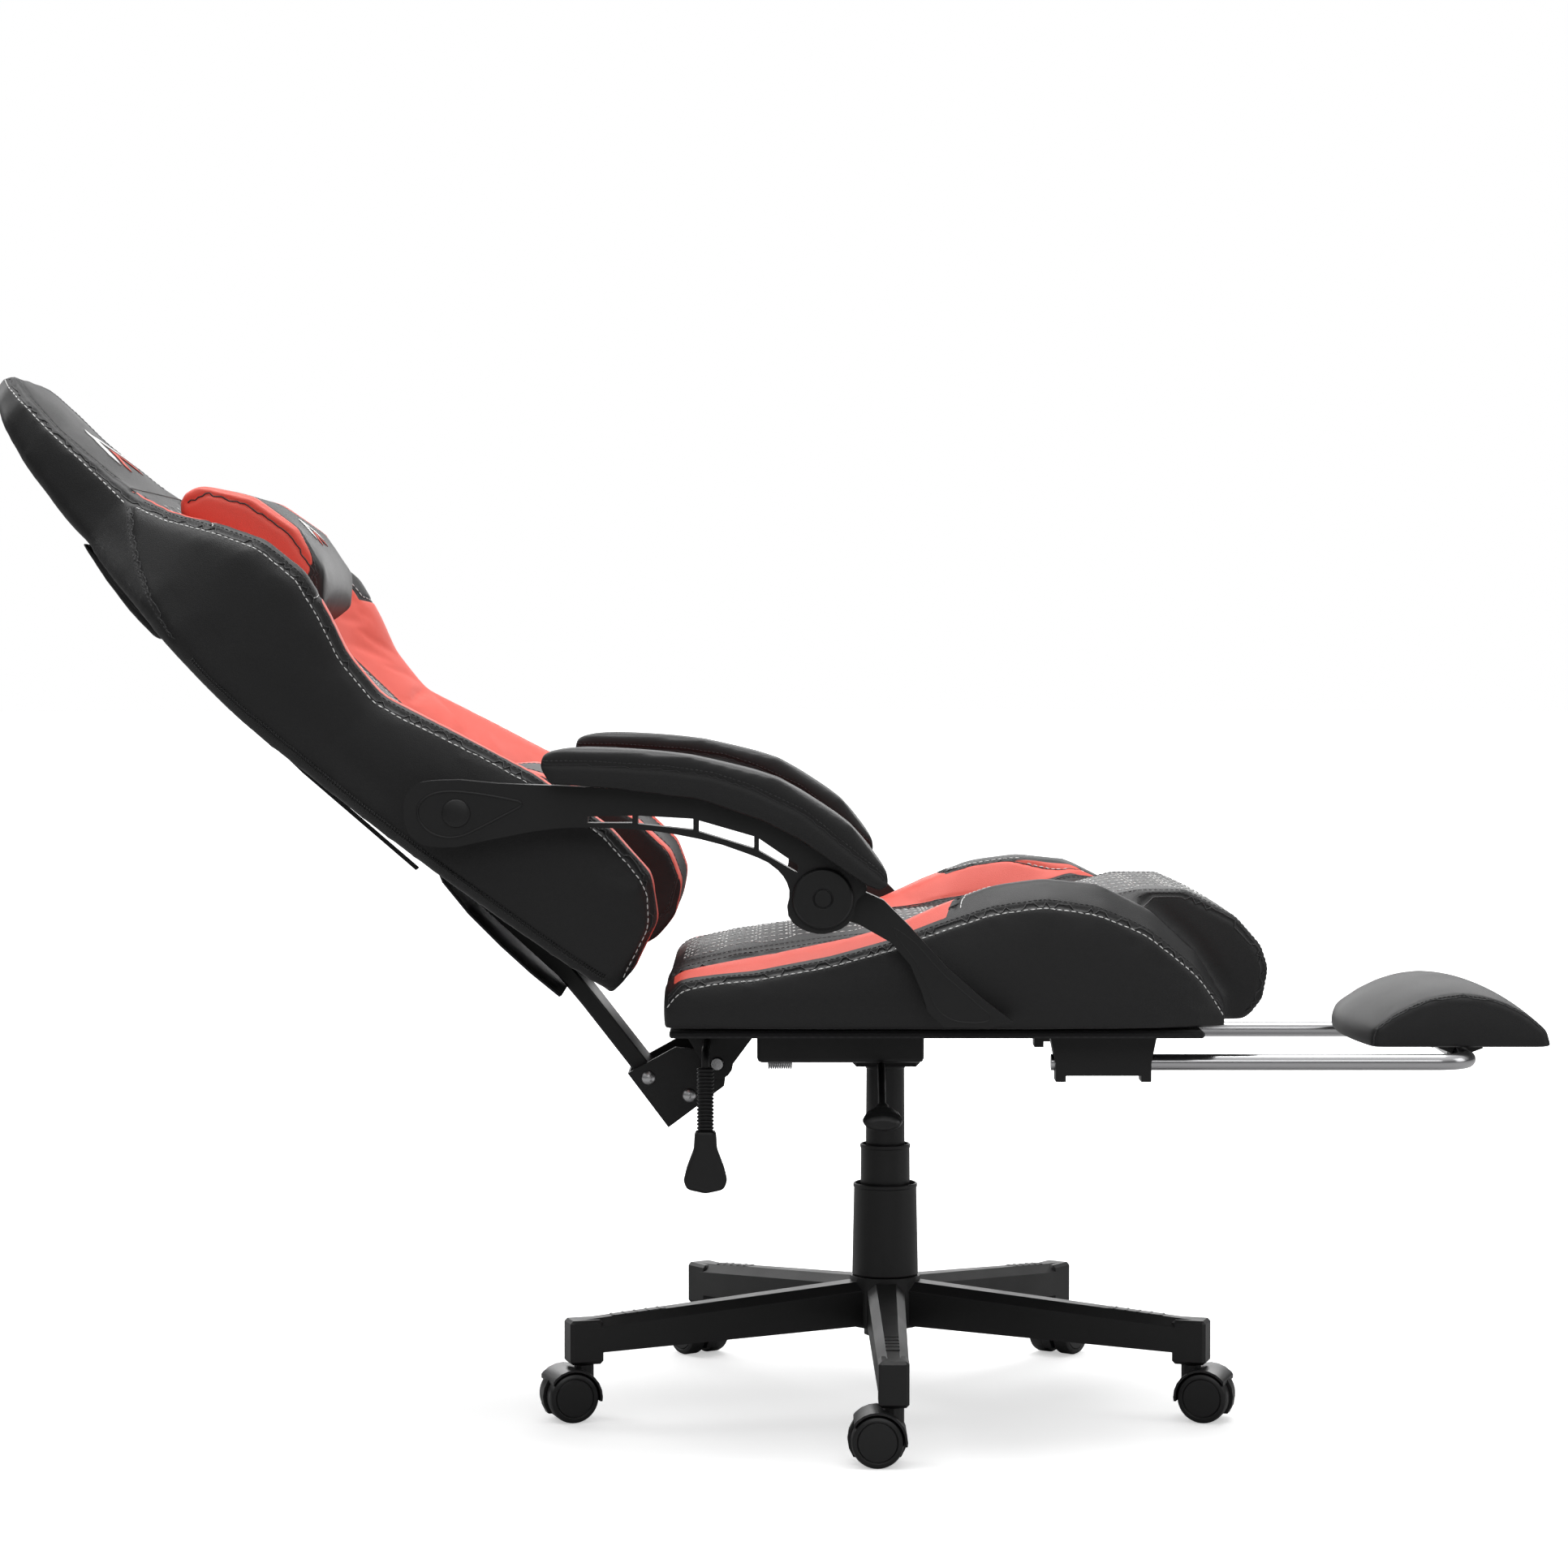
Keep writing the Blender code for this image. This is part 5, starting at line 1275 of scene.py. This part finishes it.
for side_name, side in SIDES.items():
    outward = (0, side, 0)
    middle, inner, face = across(f"arm_disc_{side_name}")
    disc = [
        (0.0, face - 0.0006), (0.0078, face - 0.0006), (0.0084, face - 0.0014),
        (0.0092, face - 0.0014), (0.0096, face), (0.0266, face), (0.0284, face - 0.0016),
        (0.0287, face - 0.0030), (0.0287, face - 0.0066), (0.0060, face - 0.0066),
        (0.0060, inner + 0.0006), (0.0052, inner), (0.0, inner),
    ]
    shape = spun(disc, middle, outward)
    hard_piece(f"arm_disc_cap_{side_name}", shape, satin_plastic, f"arm_{side_name}",
               0.0004, (f"arm_disc_{side_name}",))
    middle, inner, face = across(f"arm_rear_pivot_{side_name}")
    cap = [
        (0.0, face), (0.0060, face - 0.0002), (0.0112, face - 0.0008), (0.0130, face - 0.0020),
        (0.0134, face - 0.0029), (0.0090, face - 0.0029), (0.0090, face - 0.0285),
        (0.0215, face - 0.0285), (0.0220, face - 0.0292), (0.0220, inner + 0.0006),
        (0.0212, inner), (0.0, inner),
    ]
    shape = spun(cap, middle, outward)
    hard_piece(f"arm_rear_cap_{side_name}", shape, satin_plastic, "back",
               0.0004, (f"arm_rear_pivot_{side_name}",))
print("discs and caps of both armrests")

# %% Domed bracket bolts
for node_name in ("bracket_bolt_upper", "bracket_bolt_lower"):
    middle, _, end = across(node_name)
    dome = [(0.0, end), (0.0030, end - 0.0003), (0.0055, end - 0.0013), (0.0068, end - 0.0026),
            (0.0072, end - 0.0041), (0.0040, end - 0.0042)]
    both_ends = dome + [(radius, -height) for radius, height in reversed(dome)]
    shape = spun(both_ends, middle, (0, 1, 0), 40)
    hard_piece(node_name + "_domed", shape, zinc_plate, "back", 0.0, (node_name,))
print("bracket bolts")

# %% [markdown]
# ## Tubes, the spring and the hose
#
# The footrest slides on one bent tube. It and the recline lever's rod are a line with a round
# section, which the cord helper makes. The coil spring is one small circle spun with a steady climb, and the
# lever's hose is a turned piece with many shallow rings.

# %% A bend in a tube
def bend(centre, radius, start, end, steps=14):
    """Points round a centre in a level plane, from start to end degrees."""
    angles = [radians(start + (end - start) * i / steps) for i in range(steps + 1)]
    return [Vector((centre.x + radius * cos(a), centre.y + radius * sin(a), centre.z))
            for a in angles]


# %% The footrest's bent tube
rail_low, rail_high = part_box("footrest_rails")
RAIL_RADIUS, RAIL_BEND = 0.008, 0.035
rail_z = (rail_low.z + rail_high.z) / 2
rail_end = Vector((rail_high.x - RAIL_RADIUS, rail_high.y - RAIL_RADIUS, rail_z))
bend_middle = Vector((rail_end.x - RAIL_BEND, rail_end.y - RAIL_BEND, rail_z))
far_bend = bend(bend_middle, RAIL_BEND, 0, 90)
near_bend = [Vector((p.x, -p.y, p.z)) for p in reversed(far_bend)]
rail_line = [Vector((rail_low.x, -rail_end.y, rail_z)), *near_bend, *far_bend,
             Vector((rail_low.x, rail_end.y, rail_z))]
hard_piece("footrest_tube", cord([rail_line], RAIL_RADIUS, 7), chrome_plate,
           "footrest_slide", 0.0006, ("footrest_rails",))
print("footrest tube, radius", RAIL_RADIUS)

# %% The tilt spring
spring_low, spring_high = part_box("tilt_spring")
SPRING_TURNS, SPRING_WIRE = 11, 0.00075
spring_middle = (spring_low + spring_high) / 2
spring_radius = (spring_high.z - spring_low.z) / 2 - SPRING_WIRE
climb = (spring_high.x - spring_low.x - 2 * SPRING_WIRE) / (SPRING_TURNS * 24)
coil = bmesh.new()
wire = bmesh.ops.create_circle(coil, segments=8, radius=SPRING_WIRE)["verts"]
bmesh.ops.rotate(coil, verts=wire, matrix=Matrix.Rotation(pi / 2, 3, "X"))
coil_start = Vector((spring_low.x + SPRING_WIRE, spring_middle.y, spring_middle.z))
bmesh.ops.translate(coil, verts=wire, vec=coil_start + Vector((0, 0, spring_radius)))
bmesh.ops.spin(coil, geom=wire + coil.edges[:], cent=coil_start, axis=(1, 0, 0),
               dvec=(climb, 0, 0), angle=2 * pi * SPRING_TURNS, steps=SPRING_TURNS * 24,
               use_merge=False, use_duplicate=False)
bmesh.ops.holes_fill(coil, edges=[e for e in coil.edges if e.is_boundary], sides=0)
bmesh.ops.recalc_face_normals(coil, faces=coil.faces)
hard_piece("tilt_spring_coil", coil, zinc_plate, "seat", 0.0, ("tilt_spring",))
print("spring of", SPRING_TURNS, "turns")

# %% The ribbed hose and its rod
hose_low, hose_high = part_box("recline_lever_hose")
lever = Vector(joints["recline_lever_pull"]["pos_m"])
HOSE_RADIUS, HOSE_RIBS = 0.0085, 17
hose_top = lever.z - 0.016
rib = (hose_top - hose_low.z) / HOSE_RIBS
hose = [(0.0, hose_top)]
for i in range(HOSE_RIBS):
    top = hose_top - i * rib
    hose += [(HOSE_RADIUS - 0.0014, top - rib * 0.08), (HOSE_RADIUS - 0.0002, top - rib * 0.30),
             (HOSE_RADIUS, top - rib * 0.5), (HOSE_RADIUS - 0.0002, top - rib * 0.70),
             (HOSE_RADIUS - 0.0014, top - rib * 0.92)]
hose += [(HOSE_RADIUS - 0.0014, hose_low.z), (0.0, hose_low.z)]
hard_piece("recline_hose", spun(hose, (lever.x, lever.y, 0), steps=32), satin_plastic,
           "recline_lever", 0.0, ("recline_lever_hose",))
LEVER_BEND = 0.012
turn_down = [Vector((lever.x, lever.y + LEVER_BEND - LEVER_BEND * sin(a),
                     lever.z - LEVER_BEND + LEVER_BEND * cos(a)))
             for a in (radians(90 * i / 8) for i in range(9))]
rod_line = [Vector((lever.x, hose_high.y, lever.z)), *turn_down,
            Vector((lever.x, lever.y, hose_top - 0.004))]
hard_piece("recline_rod", cord([rod_line], 0.0039, 5), powder_coat, "recline_lever",
           0.0)
print("hose with", HOSE_RIBS, "ribs")

# %% [markdown]
# ## Lever paddles
#
# Both paddles are moulded with no hard edge at all. Wrapping the skeleton's solid in a fine even
# skin and relaxing it rounds every edge at once, which a bevel can't do on so short a shape.

# %% Paddles
def melted(name, node_name, body, material, voxel=0.0014, relax=6):
    """A hard piece whose edges have all flowed round."""
    shape = merged_copy(node_name)
    obj = new_piece(name, shape, material)
    remesh = obj.modifiers.new("Skin", "REMESH")
    remesh.mode = "VOXEL"
    remesh.voxel_size = voxel
    smooth = obj.modifiers.new("Relax", "SMOOTH")
    smooth.factor = 0.5
    smooth.iterations = relax
    apply_modifiers(obj)
    obj.data.materials.clear()
    obj.data.materials.append(material)
    obj.data.shade_smooth()
    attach(obj, body)
    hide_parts(node_name)
    return obj


melted("recline_paddle", "recline_lever_paddle", "recline_lever", satin_plastic,
       relax=10)
melted("height_paddle", "height_lever_paddle", "height_lever", satin_plastic)
print("paddles ready")

# %% [markdown]
# ## Small mouldings
#
# These are the shallow features that a moulding has on its faces: the ribbed treads near the
# ends of the legs, the rim round the armrest's rear joint, and the outlined panel on each post.
# They stand only a fraction of a millimetre proud, so each is a thin piece laid on its part.

# %% A small rounded block
def block(shape, size, matrix):
    """Adds a block of that size, placed by the matrix, to the bmesh."""
    made = bmesh.ops.create_cube(shape, size=1)["verts"]
    bmesh.ops.scale(shape, verts=made, vec=size)
    bmesh.ops.transform(shape, matrix=matrix, verts=made)


# %% Leg treads
LEG_REACH, LEG_SLOPE_LENGTH = 0.3175, 0.3055
LEG_END_Z, LEG_HUB_Z = 0.100, 0.126
leg_fall = (LEG_HUB_Z - LEG_END_Z) / LEG_SLOPE_LENGTH
TREAD_REACHES = (0.2400, 0.2520, 0.2640, 0.2760, 0.2880)
# Each block: reach along the leg, length, width and thickness
TREAD_BLOCKS = [(0.262, 0.056, 0.0115, 0.0010)]
TREAD_BLOCKS += [(reach, 0.0022, 0.0135, 0.0018) for reach in TREAD_REACHES]
treads = bmesh.new()
for number in range(1, 6):
    swivel = Vector(joints[f"caster_{number}_swivel"]["pos_m"])
    heading = Vector((swivel.x - LIFT_X, swivel.y, 0)).normalized()
    turn = Matrix.Rotation(np.arctan2(heading.y, heading.x), 4, "Z")
    slope = Matrix.Rotation(np.arctan(leg_fall), 4, "Y")
    for reach, long, wide, thick in TREAD_BLOCKS:
        height = LEG_END_Z + (LEG_REACH - reach) * leg_fall
        place = Matrix.Translation((LIFT_X, 0, 0)) @ turn @ Matrix.Translation((reach, 0, height))
        block(treads, (long, wide, thick), place @ slope)
hard_piece("leg_treads", treads, satin_plastic, "base", 0.0003)
print("treads on five legs")

# %% Rims on the armrest mouldings and the posts
REAR_RIM = [
    (-0.4480, 0.6120), (-0.4440, 0.6240), (-0.4300, 0.6320), (-0.4100, 0.6330),
    (-0.3850, 0.6300), (-0.3600, 0.6255), (-0.3440, 0.6215), (-0.3600, 0.6130),
    (-0.3850, 0.6000), (-0.4050, 0.5900), (-0.4230, 0.5890), (-0.4400, 0.5970),
]
POST_RIM = [
    (-0.0030, 0.5060), (0.0200, 0.4900), (0.0460, 0.4600), (0.0780, 0.4320),
    (0.0960, 0.4170), (0.0840, 0.4125), (0.0560, 0.4145), (0.0400, 0.4260),
    (0.0330, 0.4440), (0.0220, 0.4710), (0.0060, 0.4900),
]


def rim(name, corners, height, radius, body):
    """A closed raised line through these corners on a face at that height."""
    loop = corners + corners[:3]
    line = evenly([on_seat(x, height, z) for x, z in loop], 0.004)
    ends = len(evenly([on_seat(x, height, z) for x, z in corners + corners[:1]], 0.004))
    smooth = [sum((line[(i + j) % len(line)] for j in (-2, -1, 0, 1, 2)), Vector()) / 5
              for i in range(3, ends + 3)]
    return hard_piece(name, cord([smooth], radius, 2), satin_plastic, body,
                      0.0)


for side_name, side in SIDES.items():
    outer = max(abs(corner.y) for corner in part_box(f"arm_frame_{side_name}"))
    rim(f"arm_rear_rim_{side_name}", REAR_RIM, side * outer, 0.0011, f"arm_{side_name}")
    outer = max(abs(corner.y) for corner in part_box(f"arm_post_{side_name}"))
    rim(f"post_rim_{side_name}", POST_RIM, side * (outer - 0.0003), 0.0007, f"post_{side_name}")
print("rims ready")

# %% [markdown]
# ## The back of the chair
#
# A padded cover closes the head's rear, where the straps go in. The straps have a slide buckle
# each, and a zip runs up the rear edge of each side of the backrest, where the cover is drawn on.

# %% The padded rear cover
cover_low, cover_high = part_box("back_upper_cover")
cover_edge = [on_back(u, cover_high.y - 0.004, v) for u, v in
              ((0.570, -0.050), (0.610, -0.049), (0.650, -0.045), (0.688, -0.037))]
cover_pad, cover_surface = upholster(
    "rear_cover_pad", ("back_upper_cover",), "back", both_sides([cover_edge]), black_leather,
    voxel=0.0045, draw_in=0.0015, cap=0.004,
)
crease("rear_cover_creases", cover_surface, both_sides([cover_edge]), dark_thread, "back",
       0.0006)

# %% Strap buckles
BUCKLE_U, BUCKLE_V = 0.490, -0.0549
for side_name, side in SIDES.items():
    low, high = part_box(f"strap_{side_name}")
    middle = on_back(BUCKLE_U, (low.y + high.y) / 2, BUCKLE_V)
    turn = Matrix((UP_BACK, LEFT, OUT_BACK)).transposed().to_4x4()
    buckle = bmesh.new()
    for along, long, wide, thick in ((-0.016, 0.005, 0.031, 0.006), (0.0, 0.005, 0.031, 0.0064),
                                     (0.016, 0.005, 0.031, 0.006)):
        block(buckle, (long, wide, thick),
              Matrix.Translation(middle + UP_BACK * along) @ turn)
    for across in (-0.0140, 0.0140):
        block(buckle, (0.036, 0.0035, 0.0055),
              Matrix.Translation(middle + LEFT * across) @ turn)
    hard_piece(f"strap_buckle_{side_name}", buckle, satin_plastic, "back",
               0.0006)
print("two buckles")

# %% The zips
ZIP_LINE = [(0.025, 0.010), (0.060, 0.004), (0.120, -0.004), (0.210, -0.016), (0.300, -0.026),
            (0.366, -0.032), (0.455, -0.037), (0.520, -0.035)]
zip_line = [on_back(u, curve_at(BACK_HALF, u) - 0.002, v) for u, v in ZIP_LINE]
crease("back_zip_tapes", back_surface, both_sides([zip_line]), webbing, "back", 0.0022)
sew("back_zip_teeth", back_surface, both_sides([zip_line]), smooth_plastic, "back", 0.0030,
    0.0016, 0.0052)

# %% [markdown]
# ## Embroidered marks
#
# A chair like this has a mark on its head and its pillow. Here it is a plain pair of chevrons,
# which stand for nothing. Each is a flat grid bent into shape and laid on the leather, thick
# enough to look like dense embroidery.

# %% Chevrons
def chevron(name, surface, middle, size, stroke, thread, body):
    """A raised V of thread laid on the surface, its point up the back."""
    shape = bmesh.new()
    bmesh.ops.create_grid(shape, x_segments=24, y_segments=3, size=0.5)
    spots = []
    for vert in shape.verts:
        x, y = vert.co.x, vert.co.y
        point = middle + LEFT * (x * size) + UP_BACK * (y * stroke - abs(x) * size * 0.8)
        spots.append((vert, surface.find_nearest(point)))
    for vert, hit in spots:
        vert.co = hit[0] + hit[1] * 0.0003
    bmesh.ops.recalc_face_normals(shape, faces=shape.faces)
    first = shape.faces[:][0]
    outward = surface.find_nearest(first.calc_center_median())[1]
    if first.normal.dot(outward) < 0:
        bmesh.ops.reverse_faces(shape, faces=shape.faces)
    bmesh.ops.solidify(shape, geom=shape.faces[:], thickness=-0.0007)
    bmesh.ops.recalc_face_normals(shape, faces=shape.faces)
    obj = new_piece(name, shape, thread)
    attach(obj, body)
    return obj


# Each mark: its surface, body, distance up the back and ahead, size, stroke and thread
CHEVRONS = {
    "head_chevron_large": (back_surface, "back", 0.775, 0.040, 0.110, 0.016, white_thread),
    "head_chevron_small": (back_surface, "back", 0.747, 0.040, 0.070, 0.010, red_thread),
    "pillow_chevron_large": (pillow_surface, "pillow", 0.560, 0.125, 0.060, 0.010, white_thread),
    "pillow_chevron_small": (pillow_surface, "pillow", 0.542, 0.125, 0.038, 0.006, red_thread),
}
for mark, (surface, body, u, v, size, stroke, thread) in CHEVRONS.items():
    chevron(mark, surface, on_back(u, 0.0, v), size, stroke, thread, body)
print("chevrons ready")
